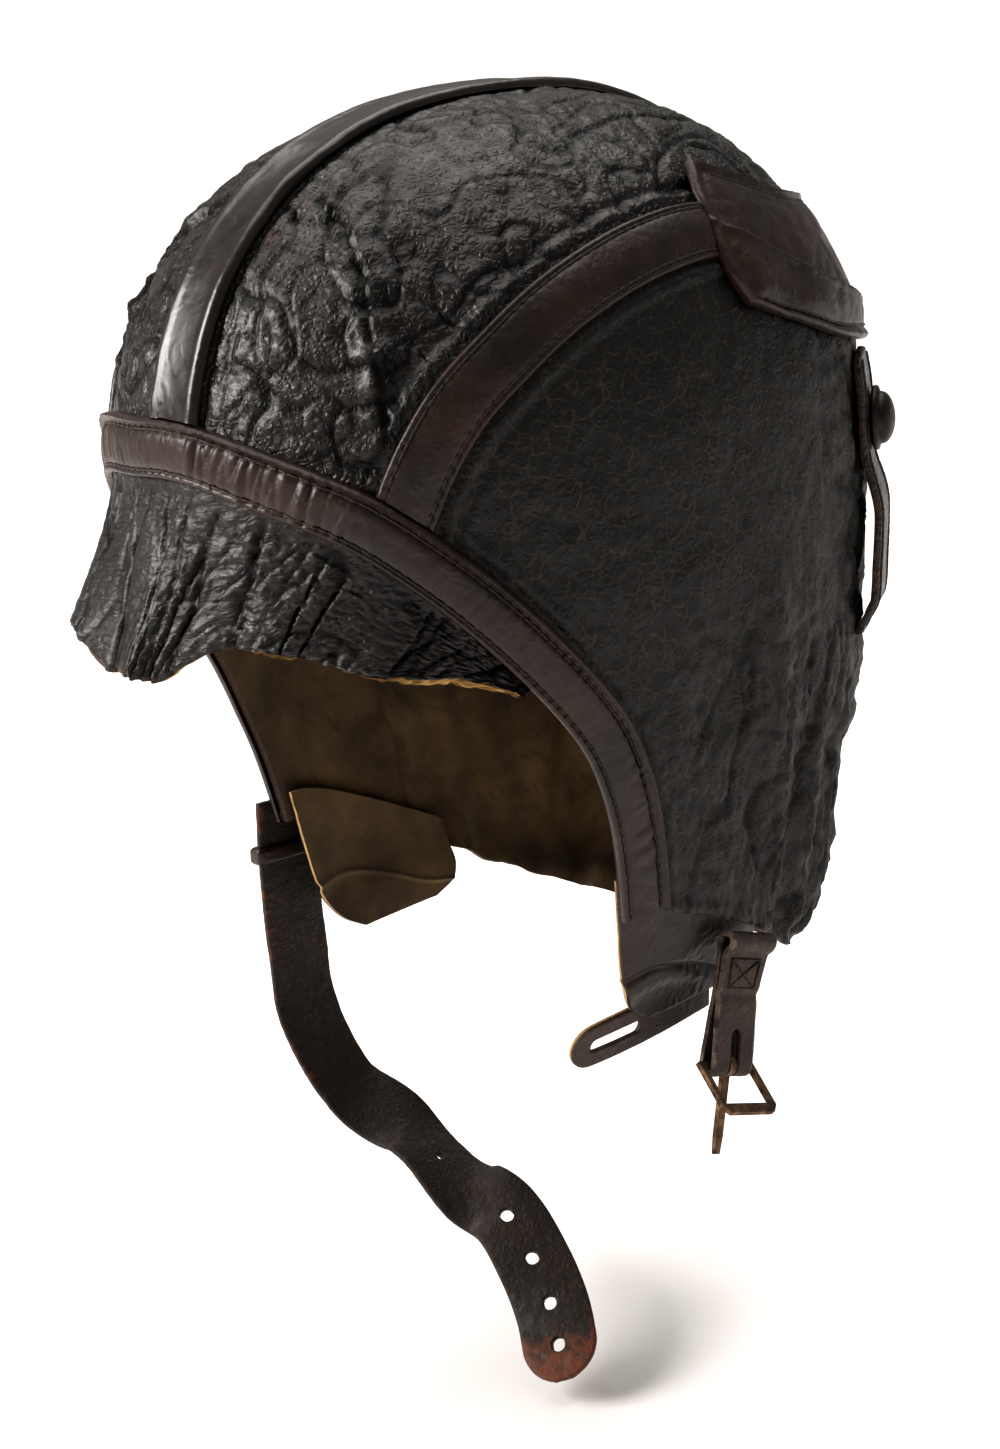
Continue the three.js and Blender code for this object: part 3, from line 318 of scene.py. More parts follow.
class Noise:
    """Smooth gradient noise in space, the same on each run for one seed."""

    def __init__(self, seed: int) -> None:
        """Draws the gradients.

        Args:
            seed: Number that fixes the noise.
        """
        chance = np.random.default_rng(seed)
        self.order = chance.permutation(256)
        self.slopes = unit(chance.normal(size=(256, 3)))

    def at(self, points: np.ndarray, size: float) -> np.ndarray:
        """Reads the noise.

        Args:
            points: Places in millimetres, three numbers each.
            size: Width of one lump in millimetres.

        Returns:
            Values from about -0.7 to 0.7.
        """
        place = points / size
        cell = np.floor(place).astype(int)
        inside = place - cell
        ease = inside**3 * (inside * (inside * 6 - 15) + 10)
        total = np.zeros(points.shape[:-1])
        for corner in product((0, 1), repeat=3):
            at = cell + corner
            first = self.order[at[..., 0] & 255]
            second = self.order[(first + at[..., 1]) & 255]
            index = self.order[(second + at[..., 2]) & 255]
            rise = np.sum((inside - corner) * self.slopes[index], axis=-1)
            total += rise * np.prod(np.where(corner, ease, 1 - ease), axis=-1)
        return total

    def puffs(self, points: np.ndarray, size: float) -> np.ndarray:
        """Reads round lumps with sharp creases between them, about 0 on average.

        Args:
            points: Places in millimetres.
            size: Width of one lump in millimetres.

        Returns:
            Values from -0.6 in a crease to 0.4 on a lump.
        """
        return np.minimum(1, 3.2 * np.abs(self.at(points, size))) ** 0.75 - 0.6

    def creases(self, points: np.ndarray, size: float, width: float) -> np.ndarray:
        """Reads thin wandering lines.

        Args:
            points: Places in millimetres.
            size: Distance between lines in millimetres.
            width: Width of a line as a share of the size.

        Returns:
            Values of 1 on a line and 0 away from it.
        """
        return hump(self.at(points, size), width)


class Line:
    """Smooth line through points in space."""

    def __init__(self, points: np.ndarray) -> None:
        """Measures the line.

        Args:
            points: Points that the line passes through, in order.
        """
        self.points = points
        self.shares = np.linspace(0, 1, 201)
        steps = np.linalg.norm(np.diff(self.point(self.shares), axis=0), axis=1)
        self.lengths = np.concatenate([[0], np.cumsum(steps)])

    def point(self, share: np.ndarray) -> np.ndarray:
        """Finds points by the line's own points.

        Args:
            share: Shares of the way through the line's own points.

        Returns:
            Points of a smooth curve through them.
        """
        ends = [2 * self.points[0] - self.points[1]], [2 * self.points[-1] - self.points[-2]]
        padded = np.vstack([ends[0], self.points, ends[1]])
        place = np.clip(share, 0, 1) * (len(self.points) - 1)
        index = np.minimum(place.astype(int), len(self.points) - 2)
        w = (place - index)[..., None]
        p0, p1, p2, p3 = (padded[index + k] for k in range(4))
        d0, d1, d2 = (
            np.sum((b - a) ** 2, axis=-1, keepdims=True) ** 0.25
            for a, b in ((p0, p1), (p1, p2), (p2, p3))
        )
        t1 = ((p1 - p0) / d0 - (p2 - p0) / (d0 + d1) + (p2 - p1) / d1) * d1
        t2 = ((p2 - p1) / d1 - (p3 - p1) / (d1 + d2) + (p3 - p2) / d2) * d1
        bend = (-3 * p1 + 3 * p2 - 2 * t1 - t2) * w**2
        return p1 + t1 * w + bend + (2 * p1 - 2 * p2 + t1 + t2) * w**3

    def at(self, share: np.ndarray | float) -> np.ndarray:
        """Returns points at shares of the line's length."""
        reach = np.clip(np.asarray(share, float), 0, 1) * self.lengths[-1]
        return self.point(np.interp(reach, self.lengths, self.shares))


@dataclass(frozen=True)
class HeadForm:
    """Inside wall of the helmet and the lines over it, all in millimetres."""

    half_width: float = 79.5
    front_reach: float = 102.0
    back_reach: float = 103.0
    crown_height: float = 89.5
    nape_drop: float = 149.0
    plan_roundness: float = 2.2
    crown_roundness: float = 2.33
    gather_depth: float = 1.3
    gather_period: float = 12.0
    gather_from: float = 104.0
    gather_top: float = -36.0
    gather_fade: float = 12.0

    def place(self, points: np.ndarray) -> np.ndarray:
        """Returns points in metres in the part's frame."""
        return (points - np.array([0, 0, self.crown_height])) * MM

    def wall(self, direction: np.ndarray) -> np.ndarray:
        """Finds the inside wall.

        Args:
            direction: Unit directions from the middle of the widest level.

        Returns:
            The wall's points in those directions.
        """
        azimuth, elevation = azimuth_of(direction), elevation_of(direction)
        level = np.maximum(np.hypot(direction[..., 0], direction[..., 1]), 1e-9)
        below = np.maximum(-elevation, 0)
        side, front, back = (BELOW.read(below, name) for name in ("side", "front", "back"))
        forward = np.abs(azimuth) < 90
        lengthways = np.where(forward, self.front_reach * front, self.back_reach * back)
        across = np.abs(np.sin(np.radians(azimuth))) / (self.half_width * side)
        along = np.abs(np.cos(np.radians(azimuth))) / lengthways
        power = self.plan_roundness
        reach = (across**power + along**power) ** (-1 / power)
        rise = np.maximum(direction[..., 2], 0) / self.crown_height
        total = (level / reach) ** self.crown_roundness + rise**self.crown_roundness
        above = total ** (-1 / self.crown_roundness)
        return direction * np.where(elevation >= 0, above, reach / level)[..., None]

    def normal(self, direction: np.ndarray, step: float = 0.004) -> np.ndarray:
        """Finds how the wall faces.

        Args:
            direction: Unit directions.
            step: How far to each side the wall is read, as a share of its distance.

        Returns:
            Outward unit normals.
        """
        steep = np.abs(direction[..., :1]) > 0.9
        first = unit(np.cross(direction, np.where(steep, [0, 0, 1.0], [1.0, 0, 0])))
        second = unit(np.cross(direction, first))
        sides = [
            self.wall(unit(direction + axis * step)) - self.wall(unit(direction - axis * step))
            for axis in (first, second)
        ]
        return unit(np.cross(*sides))

    def relief(self, direction: np.ndarray) -> np.ndarray:
        """Finds the main folds and gathers.

        Args:
            direction: Unit directions.

        Returns:
            Heights over the smooth wall.
        """
        mirrored = np.array(direction)
        mirrored[..., 0] = np.abs(mirrored[..., 0])
        azimuth, elevation = azimuth_of(mirrored), elevation_of(mirrored)
        low = 1 - smooth_step(self.gather_top - self.gather_fade, self.gather_top, elevation)
        nape = low * smooth_step(self.gather_from, self.gather_from + self.gather_fade, azimuth)
        height = self.gather_depth * nape * np.cos(2 * np.pi * azimuth / self.gather_period)
        place = self.wall(mirrored)
        for azimuth0, elevation0, azimuth1, elevation1, width, rise in FOLDS.rows:
            start = self.wall(direction_of(azimuth0, elevation0))
            end = self.wall(direction_of(azimuth1, elevation1))
            height = height + rise * hump(distance_to_span(place, start, end), width)
        return height

    def settled(self, direction: np.ndarray) -> np.ndarray:
        """Lifts directions by the band's rise on the right of the forehead.

        Args:
            direction: Unit directions.

        Returns:
            Unit directions, changed only on the right.
        """
        elevation = elevation_of(direction)
        rise = RIGHT_RISE.read(-azimuth_of(direction), "rise")
        lifted = direction_of(
            azimuth_of(direction), elevation + rise * (1 - smooth_step(*RISE_FADES, elevation))
        )
        return np.where(direction[..., :1] < 0, lifted, direction)

    def leather(self, direction: np.ndarray, lift: np.ndarray | float) -> np.ndarray:
        """Finds points of the leather, with the main folds.

        Args:
            direction: Unit directions.
            lift: Height over the wall.

        Returns:
            Points in millimetres.
        """
        at = self.settled(direction)
        height = lift + self.relief(direction)
        return self.wall(at) + self.normal(at) * np.asarray(height)[..., None]

    def beside(self, line: Line, along: np.ndarray, distance: np.ndarray | float) -> np.ndarray:
        """Returns directions beside a line over the wall.

        Args:
            line: Line of directions.
            along: Shares of the line's length.
            distance: Distance to the line's upper side.

        Returns:
            Unit directions, one for each share.
        """
        along = np.asarray(along, float)
        here = self.wall(unit(line.at(along)))
        ahead = self.wall(unit(line.at(along + 0.004))) - self.wall(unit(line.at(along - 0.004)))
        side = unit(np.cross(self.normal(unit(here)), unit(ahead)))
        return unit(here + side * np.asarray(distance, float)[..., None])

    def in_side_view(self, back: np.ndarray, drop: np.ndarray) -> np.ndarray:
        """Finds the left wall by its side view.

        Args:
            back: Distances behind the middle, in millimetres.
            drop: Distances below the widest level, in millimetres.

        Returns:
            Unit directions of the wall there.
        """
        back, drop = np.broadcast_arrays(np.asarray(back, float), np.asarray(drop, float))
        inner, outer = np.zeros(back.shape), np.full(back.shape, 2 * self.half_width)
        for _ in range(40):
            middle = (inner + outer) / 2
            place = np.stack([middle, back, -drop], axis=-1)
            reach = np.linalg.norm(self.wall(unit(place)), axis=-1)
            inside = np.linalg.norm(place, axis=-1) < reach
            inner, outer = np.where(inside, middle, inner), np.where(inside, outer, middle)
        return unit(np.stack([inner, back, -drop], axis=-1))

    def hem(self, azimuth: np.ndarray) -> np.ndarray:
        """Finds the side panels' lower edge.

        Args:
            azimuth: Angles from the front, in degrees.

        Returns:
            Unit directions of the edge.
        """
        drop = self.nape_drop * HEM.read(azimuth, "drop")
        high, low = np.zeros(azimuth.shape), np.full(azimuth.shape, -80.0)
        for _ in range(40):
            middle = (high + low) / 2
            above = -self.wall(direction_of(azimuth, middle))[..., 2] < drop
            high, low = np.where(above, middle, high), np.where(above, low, middle)
        return direction_of(azimuth, high)


def distance_to_span(points: np.ndarray, start: np.ndarray, end: np.ndarray) -> np.ndarray:
    """Measures how far points are from a straight span.

    Args:
        points: Points to measure from.
        start: First end of the span.
        end: Its other end.

    Returns:
        One distance for each point.
    """
    way = end - start
    share = np.clip(np.sum((points - start) * way, axis=-1) / np.sum(way * way), 0, 1)
    return np.linalg.norm(points - start - share[..., None] * way, axis=-1)


def distance_to_route(points: np.ndarray, route: np.ndarray) -> np.ndarray:
    """Measures how far points are from a route of many short spans.

    Args:
        points: Points to measure from.
        route: Points of the route, in order.

    Returns:
        One distance for each point.
    """
    nearest = np.full(points.shape[:-1], np.inf)
    for start, end in zip(route[:-1], route[1:]):
        nearest = np.minimum(nearest, distance_to_span(points, start, end))
    return nearest


def line_through(table: Table, names: tuple[str, str] = ("azimuth", "elevation")) -> Line:
    """Returns a line of directions through a table's rows."""
    return Line(direction_of(table.column(names[0]), table.column(names[1])))


def spread(
    top: Shares, bottom: Shares, start: Shares, end: Shares, u: np.ndarray, v: np.ndarray
) -> np.ndarray:
    """Fills a patch with four curved sides.

    Args:
        top: Points along u where v is 0.
        bottom: Points along u where v is 1.
        start: Points along v where u is 0.
        end: Points along v where u is 1.
        u: Shares along the first way.
        v: Shares along the second way.

    Returns:
        Unit directions of a grid, rows along u.
    """
    a, b = u[:, None, None], v[None, :, None]
    corner = [side(np.array([at]))[None] for side in (top, bottom) for at in (0.0, 1.0)]
    rails = (1 - b) * top(u)[:, None] + b * bottom(u)[:, None]
    ribs = (1 - a) * start(v)[None] + a * end(v)[None]
    corners = (1 - a) * (1 - b) * corner[0] + a * (1 - b) * corner[1]
    corners = corners + (1 - a) * b * corner[2] + a * b * corner[3]
    return unit(rails + ribs - corners)


def stations(count: int, length: float, edge: Sequence[float] = (0.25, 0.6, 1.1)) -> np.ndarray:
    """Returns shares of a length, evenly spread and closer at both ends.

    Args:
        count: Number of even steps.
        length: Length in millimetres.
        edge: Distances of the extra places from each end, in millimetres.

    Returns:
        Rising shares from 0 to 1.
    """
    near = np.array(edge) / length
    even = np.linspace(near[-1] * 2, 1 - near[-1] * 2, count)
    return np.concatenate([[0], near, even, 1 - near[::-1], [1]])


def rounded(u: np.ndarray, v: np.ndarray, size: tuple[float, float], radius: float) -> np.ndarray:
    """Returns the share of full height over a sheet, less at its cut edges.

    Args:
        u: Shares along the rows.
        v: Shares along the columns.
        size: Length along u and v in millimetres.
        radius: Width of the rounded margin in millimetres.

    Returns:
        A grid from 0.45 at the edge to 1.
    """
    margin = [np.minimum(w, 1 - w) * length for w, length in zip((u, v), size)]
    near = np.minimum(margin[0][:, None], margin[1][None, :])
    fall = 1 - np.clip(near / radius, 0, 1)
    return 0.45 + 0.55 * np.sqrt(1 - fall**2)


def build_object(
    name: str,
    points: np.ndarray,
    faces: Sequence[Sequence[int]],
    kinds: Sequence[int] = (),
    values: dict[str, np.ndarray] | None = None,
) -> bpy.types.Object:
    """Makes a smooth mesh object from points in metres.

    Args:
        name: Name of the object.
        points: Corners.
        faces: Corner numbers of each face.
        kinds: Material place of each face.
        values: Numbers for each corner, by attribute name.

    Returns:
        The new object, linked to the scene.
    """
    mesh = bpy.data.meshes.new(name)
    mesh.from_pydata(points.tolist(), [], [list(face) for face in faces])
    mesh.polygons.foreach_set("use_smooth", np.ones(len(mesh.polygons), bool))
    if len(kinds):
        mesh.polygons.foreach_set("material_index", np.asarray(kinds, np.int32))
    for key, numbers in (values or {}).items():
        layer = mesh.attributes.new(key, "FLOAT", "POINT")
        layer.data.foreach_set("value", np.asarray(numbers, np.float32).ravel())
    mesh.update()
    piece = bpy.data.objects.new(name, mesh)
    bpy.context.scene.collection.objects.link(piece)
    return piece


def sheet_object(
    name: str,
    under: np.ndarray,
    over: np.ndarray,
    values: dict[str, np.ndarray] | None = None,
) -> bpy.types.Object:
    """Makes a closed sheet of leather between two grids of points.

    Args:
        name: Name of the object.
        under: Grid of the flesh side, in metres.
        over: Grid of the grain side, in metres.
        values: Grids of numbers for both sides, by attribute name.

    Returns:
        The new object, with its sides marked for their materials.
    """
    rows, columns = under.shape[:2]
    low = np.arange(rows * columns).reshape(rows, columns)
    high = low + rows * columns

    def quads(a: np.ndarray, b: np.ndarray, c: np.ndarray, d: np.ndarray) -> np.ndarray:
        """Returns faces from four arrays of corner numbers."""
        return np.stack([a, b, c, d], axis=-1).reshape(-1, 4)

    grain = quads(high[:-1, :-1], high[1:, :-1], high[1:, 1:], high[:-1, 1:])
    flesh = quads(low[:-1, :-1], low[:-1, 1:], low[1:, 1:], low[1:, :-1])
    rim = [
        quads(high[1:, 0], high[:-1, 0], low[:-1, 0], low[1:, 0]),
        quads(high[:-1, -1], high[1:, -1], low[1:, -1], low[:-1, -1]),
        quads(high[0, :-1], high[0, 1:], low[0, 1:], low[0, :-1]),
        quads(high[-1, 1:], high[-1, :-1], low[-1, :-1], low[-1, 1:]),
    ]
    faces = np.concatenate([grain, flesh, *rim])
    edges = len(faces) - len(grain) - len(flesh)
    counts = {Face.GRAIN: len(grain), Face.FLESH: len(flesh), Face.EDGE: edges}
    kinds = np.concatenate([np.full(count, kind.value) for kind, count in counts.items()])
    points = np.concatenate([under.reshape(-1, 3), over.reshape(-1, 3)])
    a, b, c = (points[faces[:, k]] for k in range(3))
    if np.sum(a * np.cross(b, c)) < 0:
        faces = faces[:, ::-1]
    doubled = {key: np.concatenate([v.ravel(), v.ravel()]) for key, v in (values or {}).items()}
    piece = build_object(name, points, faces.tolist(), kinds, doubled)
    piece.data.set_sharp_from_angle(angle=math.radians(55))
    return piece


def turned_object(
    name: str, profile: Sequence[tuple[float, float]], seat: np.ndarray, axis: np.ndarray
) -> bpy.types.Object:
    """Makes a turned piece of hardware.

    Args:
        name: Name of the object.
        profile: Radius and height of each ring in millimetres, from the foot to the top.
        seat: Middle of the foot in millimetres.
        axis: Unit vector from the foot to the top.

    Returns:
        The new object.
    """
    sides = 48
    first = unit(np.cross(axis, [0.0, 0.0, 1.0]))
    second = np.cross(axis, first)
    turn = np.linspace(0, 2 * np.pi, sides, endpoint=False)
    ring = np.cos(turn)[:, None] * first + np.sin(turn)[:, None] * second
    rings = [seat + ring * max(radius, 0.01) + axis * height for radius, height in profile]
    points = FORM.place(np.concatenate(rings))
    faces: list[list[int]] = [list(range(sides))[::-1]]
    for row in range(len(profile) - 1):
        for k in range(sides):
            low, after = row * sides + k, row * sides + (k + 1) % sides
            faces.append([low, after, after + sides, low + sides])
    last = (len(profile) - 1) * sides
    faces.append(list(range(last, last + sides)))
    return build_object(name, points, faces)


def cut_with(piece: bpy.types.Object, cutters: Sequence[bpy.types.Object]) -> None:
    """Cuts holes in a piece and removes the cutters.

    Args:
        piece: Object that is cut.
        cutters: Closed objects whose space is taken out.
    """
    bpy.context.view_layer.update()
    for cutter in cutters:
        modifier = piece.modifiers.new("hole", "BOOLEAN")
        modifier.operation = "DIFFERENCE"
        modifier.solver = "EXACT"
        modifier.object = cutter
    graph = bpy.context.evaluated_depsgraph_get()
    mesh = bpy.data.meshes.new_from_object(piece.evaluated_get(graph))
    piece.modifiers.clear()
    piece.data = mesh
    for cutter in cutters:
        bpy.data.objects.remove(cutter)


def cutter_object(
    outline: np.ndarray, seat: np.ndarray, axes: np.ndarray, depth: float
) -> bpy.types.Object:
    """Makes a closed prism to cut with.

    Args:
        outline: Corners of the hole in millimetres, in its own plane.
        seat: Middle of the hole in millimetres.
        axes: The plane's two directions and the way through, as rows.
        depth: Length of the prism each way in millimetres.

    Returns:
        The new object.
    """
    count = len(outline)
    flat = outline @ axes[:2]
    points = np.concatenate([seat + flat - axes[2] * depth, seat + flat + axes[2] * depth])
    faces = [list(range(count))[::-1], list(range(count, 2 * count))]
    for k in range(count):
        after = (k + 1) % count
        faces.append([k, after, after + count, k + count])
    return build_object("cutter", FORM.place(points), faces)


def oval(length: float, width: float, count: int = 32) -> np.ndarray:
    """Draws a slot with round ends.

    Args:
        length: Length in millimetres.
        width: Width in millimetres.
        count: Number of corners.

    Returns:
        The outline's corners in millimetres.
    """
    turn = np.linspace(0, 2 * np.pi, count, endpoint=False)
    straight = (length - width) / 2
    x = np.cos(turn) * width / 2 + np.sign(np.cos(turn)) * straight
    return np.stack([x, np.sin(turn) * width / 2], axis=-1)


@dataclass(frozen=True)
class Stitches:
    """Row of thread stitches pressed into the leather.

    Attributes:
        pitch: Distance from one stitch to the next.
        length: Length of the thread that shows.
        radius: Radius of the thread.
    """

    pitch: float = 3.0
    length: float = 2.2
    radius: float = 0.42

    def build(self, name: str, rows: Sequence[tuple[np.ndarray, np.ndarray]]) -> bpy.types.Object:
        """Makes one object of several rows of stitches.

        Args:
            name: Name of the object.
            rows: Route of each row and the leather's outward normals along it, in millimetres.

        Returns:
            The new object.
        """
        chance = np.random.default_rng(len(name))
        sides, rings = 6, np.radians([-90, -45, 0, 0, 45, 90])
        points, faces, base = [], [], 0
        for route, normals in rows:
            steps = np.linalg.norm(np.diff(route, axis=0), axis=1)
            reach = np.concatenate([[0], np.cumsum(steps)])
            for middle in np.arange(self.pitch / 2, reach[-1], self.pitch):
                ends = middle + np.array([-0.5, 0.5]) * self.length * chance.uniform(0.9, 1.08)
                tips = np.stack([np.interp(ends, reach, route[:, k]) for k in range(3)], axis=-1)
                out = unit(np.array([np.interp(middle, reach, normals[:, k]) for k in range(3)]))
                way = unit(tips[1] - tips[0] + 1e-9)
                side = unit(np.cross(out, way))
                turn = np.linspace(0, 2 * np.pi, sides, endpoint=False)
                for index, ring in enumerate(rings):
                    centre = tips[0] if index < 3 else tips[1]
                    centre = centre + way * np.sin(ring) * self.radius * 1.6
                    width = max(np.cos(ring), 0.05) * self.radius
                    around = np.cos(turn)[:, None] * side + np.sin(turn)[:, None] * out
                    points.append(centre + around * width)
                for row, k in product(range(len(rings) - 1), range(sides)):
                    low, after = base + row * sides + k, base + row * sides + (k + 1) % sides
                    faces.append([low, after, after + sides, low + sides])
                base += sides * len(rings)
        return build_object(name, FORM.place(np.concatenate(points)), faces)


def linear(colour: int) -> tuple[float, float, float, float]:
    """Turns an sRGB colour linear.

    Args:
        colour: Hex colour.

    Returns:
        Linear red, green, blue and alpha.
    """
    parts = [((colour >> shift) & 255) / 255 for shift in (16, 8, 0)]
    red, green, blue = (
        part / 12.92 if part <= 0.04045 else ((part + 0.055) / 1.055) ** 2.4 for part in parts
    )
    return red, green, blue, 1.0


def add_node(
    tree: bpy.types.NodeTree,
    kind: str,
    settings: dict[str | int, object] | None = None,
    links: dict[str | int, bpy.types.NodeSocket] | None = None,
) -> bpy.types.Node:
    """Adds one node with its settings and links.

    Args:
        tree: Node tree of a material or the world.
        kind: Blender's name for the node's type.
        settings: Values of inputs or of the node's own options.
        links: Output sockets to join to its inputs.

    Returns:
        The new node.
    """
    node = tree.nodes.new(kind)
    for key, value in (settings or {}).items():
        if isinstance(key, str) and hasattr(node, key):
            setattr(node, key, value)
    for key, value in (settings or {}).items():
        if isinstance(key, int) or not hasattr(node, key):
            node.inputs[key].default_value = value
    for key, socket in (links or {}).items():
        tree.links.new(socket, node.inputs[key])
    return node


def new_material(name: str) -> tuple[bpy.types.Material, bpy.types.Node, bpy.types.NodeSocket]:
    """Makes an empty material.

    Args:
        name: Name of the material.

    Returns:
        The material, its surface shader and coordinates in millimetres.
    """
    material = bpy.data.materials.new(name)
    material.use_nodes = True
    tree = material.node_tree
    shader = next(node for node in tree.nodes if node.type == "BSDF_PRINCIPLED")
    place = add_node(tree, "ShaderNodeTexCoord")
    scaled = add_node(
        tree,
        "ShaderNodeMapping",
        {"Scale": (1 / MM, 1 / MM, 1 / MM)},
        {"Vector": place.outputs["Object"]},
    )
    return material, shader, scaled.outputs["Vector"]


# Widths in millimetres of the hides' tone, of their rubbed patches and of the fields between
# pale scratches
TONE_SIZE = 24.0
RUB_SIZE = 5.0
SCRATCH_SIZE = 4.6


@dataclass(frozen=True)
class Hide:
    """Finish of one leather.

    Attributes:
        name: Plain name of the leather.
        deep: Colour of the darkest tone, of the cracks, and of the painted shade and dirt along the
            creases.
        body: Main colour.
        worn: Colour where the finish has rubbed off.
        roughness: Lowest and highest roughness.
        coat: Weight of the glossy finish over the leather.
        grain: Width of the grain's pebbles in millimetres.
        crack: Width of the fields between fine cracks in millimetres.
        depth: Depth of the grain and cracks in millimetres.
        wear: How much of the finish is rubbed off, from 0 to 1.
        sheen: Weight of the soft nap.
        tint: How dark the fine cracks are, from 0 to 1.
        stretch: Number of cracks along each axis for one in an even net.
        pale: How much of the colour of wear shows along a few long cracks, from 0 to 1.
    """

    name: str
    deep: int
    body: int
    worn: int
    roughness: tuple[float, float]
    coat: float
    grain: float
    crack: float
    depth: float
    wear: float = 0.3
    sheen: float = 0.0
    tint: float = 0.75
    stretch: tuple[float, float, float] = (1.0, 1.0, 1.0)
    pale: float = 0.0

    def make(self) -> bpy.types.Material:
        """Makes the material.

        Returns:
            A material whose cracks, grain, tone and wear come from its nodes.
        """
        material, shader, place = new_material(self.name)
        add = partial(add_node, material.node_tree)
        bent = self.bent_place(add, place)
        net = self.crack_net(add, bent)
        # Painted shade and dirt along the creases: where this attribute is high, the colour turns
        # deep and the specular falls.
        crease = add("ShaderNodeAttribute", {"attribute_name": "crease"}).outputs["Fac"]
        patches = add(
            "ShaderNodeTexNoise",
            {"Scale": 1 / RUB_SIZE, "Detail": 6.0, "Roughness": 0.7},
            {"Vector": place},
        ).outputs[0]
        low, high = self.roughness
        gloss = add(
            "ShaderNodeMapRange",
            {"From Min": 0.3, "From Max": 0.7, "To Min": low, "To Max": high},
            {"Value": patches},
        )
        matt = add("ShaderNodeMapRange", {"To Min": 0.5, "To Max": 0.08}, {"Value": crease})
        shares = [self.bare_share(add, patches)]
        if self.pale:
            shares.append(self.scratches(add, bent, patches))
        joined = {
            "Base Color": self.colour(add, self.tone(add, place), (net, crease), shares),
            "Roughness": gloss.outputs[0],
            "Specular IOR Level": matt.outputs[0],
            "Normal": self.bump(add, place, net),
        }
        for name, socket in joined.items():
            material.node_tree.links.new(socket, shader.inputs[name])
        shader.inputs["IOR"].default_value = 1.5
        shader.inputs["Coat Weight"].default_value = self.coat
        shader.inputs["Coat Roughness"].default_value = 0.22
        shader.inputs["Sheen Weight"].default_value = self.sheen
        shader.inputs["Sheen Roughness"].default_value = 0.6
        return material

    def bent_place(self, add: Adder, place: bpy.types.NodeSocket) -> bpy.types.NodeSocket:
        """Adds coordinates that wander, so that the cracks drawn in them do too.

        Args:
            add: Adds a node to the material.
            place: Coordinates in millimetres.

        Returns:
            The bent coordinates.
        """
        warp = add(
            "ShaderNodeTexNoise", {"Scale": 0.6 / self.crack, "Detail": 2.0}, {"Vector": place}
        )
        centred = add(
            "ShaderNodeVectorMath",
            {"operation": "SUBTRACT", 1: (0.5, 0.5, 0.5)},
            {0: warp.outputs["Color"]},
        )
        bent = add(
            "ShaderNodeVectorMath",
            {"operation": "MULTIPLY_ADD", 1: (self.crack * 1.3,) * 3},
            {0: centred.outputs[0], 2: place},
        )
        stretched = add(
            "ShaderNodeVectorMath",
            {"operation": "MULTIPLY", 1: self.stretch},
            {0: bent.outputs[0]},
        )
        return stretched.outputs[0]

    def crack_net(self, add: Adder, place: bpy.types.NodeSocket) -> bpy.types.NodeSocket:
        """Adds the nets of fine and of coarse cracks.

        Args:
            add: Adds a node to the material.
            place: Bent coordinates.

        Returns:
            0 in the cracks and 1 on the fields between them.
        """
        masks = []
        for scale, width in ((1 / self.crack, 0.34), (0.38 / self.crack, 0.1)):
            cells = add(
                "ShaderNodeTexVoronoi",
                {"feature": "DISTANCE_TO_EDGE", "Scale": scale},
                {"Vector": place},
            )
            fields = add(
                "ShaderNodeMapRange",
                {"interpolation_type": "SMOOTHSTEP", "From Max": width},
                {"Value": cells.outputs["Distance"]},
            )
            masks.append(fields.outputs["Result"])
        both = add("ShaderNodeMath", {"operation": "MULTIPLY"}, {0: masks[0], 1: masks[1]})
        return both.outputs[0]

    def bump(
        self, add: Adder, place: bpy.types.NodeSocket, net: bpy.types.NodeSocket
    ) -> bpy.types.NodeSocket:
        """Adds the relief of the cracks and the grain.

        Args:
            add: Adds a node to the material.
            place: Coordinates in millimetres.
            net: The net of cracks.

        Returns:
            Normal of the surface.
        """
        grain = add(
            "ShaderNodeTexNoise",
            {"Scale": 1 / self.grain, "Detail": 4.0, "Roughness": 0.6},
            {"Vector": place},
        )
        height = add(
            "ShaderNodeMath",
            {"operation": "MULTIPLY_ADD", 1: 0.14},
            {0: grain.outputs[0], 2: net},
        )
        relief = add(
            "ShaderNodeBump",
            {"Strength": 1.0, "Distance": self.depth * MM},
            {"Height": height.outputs[0]},
        )
        return relief.outputs[0]

    def tone(self, add: Adder, place: bpy.types.NodeSocket) -> bpy.types.NodeSocket:
        """Adds the slow change between the deep and the main colour.

        Args:
            add: Adds a node to the material.
            place: Coordinates in millimetres.

        Returns:
            Share of the main colour.
        """
        clouds = add(
            "ShaderNodeTexNoise",
            {"Scale": 1 / TONE_SIZE, "Detail": 5.0, "Roughness": 0.65},
            {"Vector": place},
        )
        share = add(
            "ShaderNodeMapRange", {"From Min": 0.35, "From Max": 0.65}, {"Value": clouds.outputs[0]}
        )
        return share.outputs[0]

    def bare_share(self, add: Adder, patches: bpy.types.NodeSocket) -> bpy.types.NodeSocket:
        """Adds the places where the finish has rubbed off.

        Args:
            add: Adds a node to the material.
            patches: Noise that makes the rubbed places patchy.

        Returns:
            Share of the worn colour.
        """
        rub = add("ShaderNodeAttribute", {"attribute_name": "wear"})
        rubbed = add(
            "ShaderNodeMath",
            {"operation": "MULTIPLY_ADD", 1: 0.45},
            {0: rub.outputs["Fac"], 2: patches},
        )
        first = 0.78 - 0.2 * self.wear
        bare = add(
            "ShaderNodeMapRange",
            {"From Min": first, "From Max": first + 0.2, "To Max": 0.9},
            {"Value": rubbed.outputs[0]},
        )
        return bare.outputs[0]

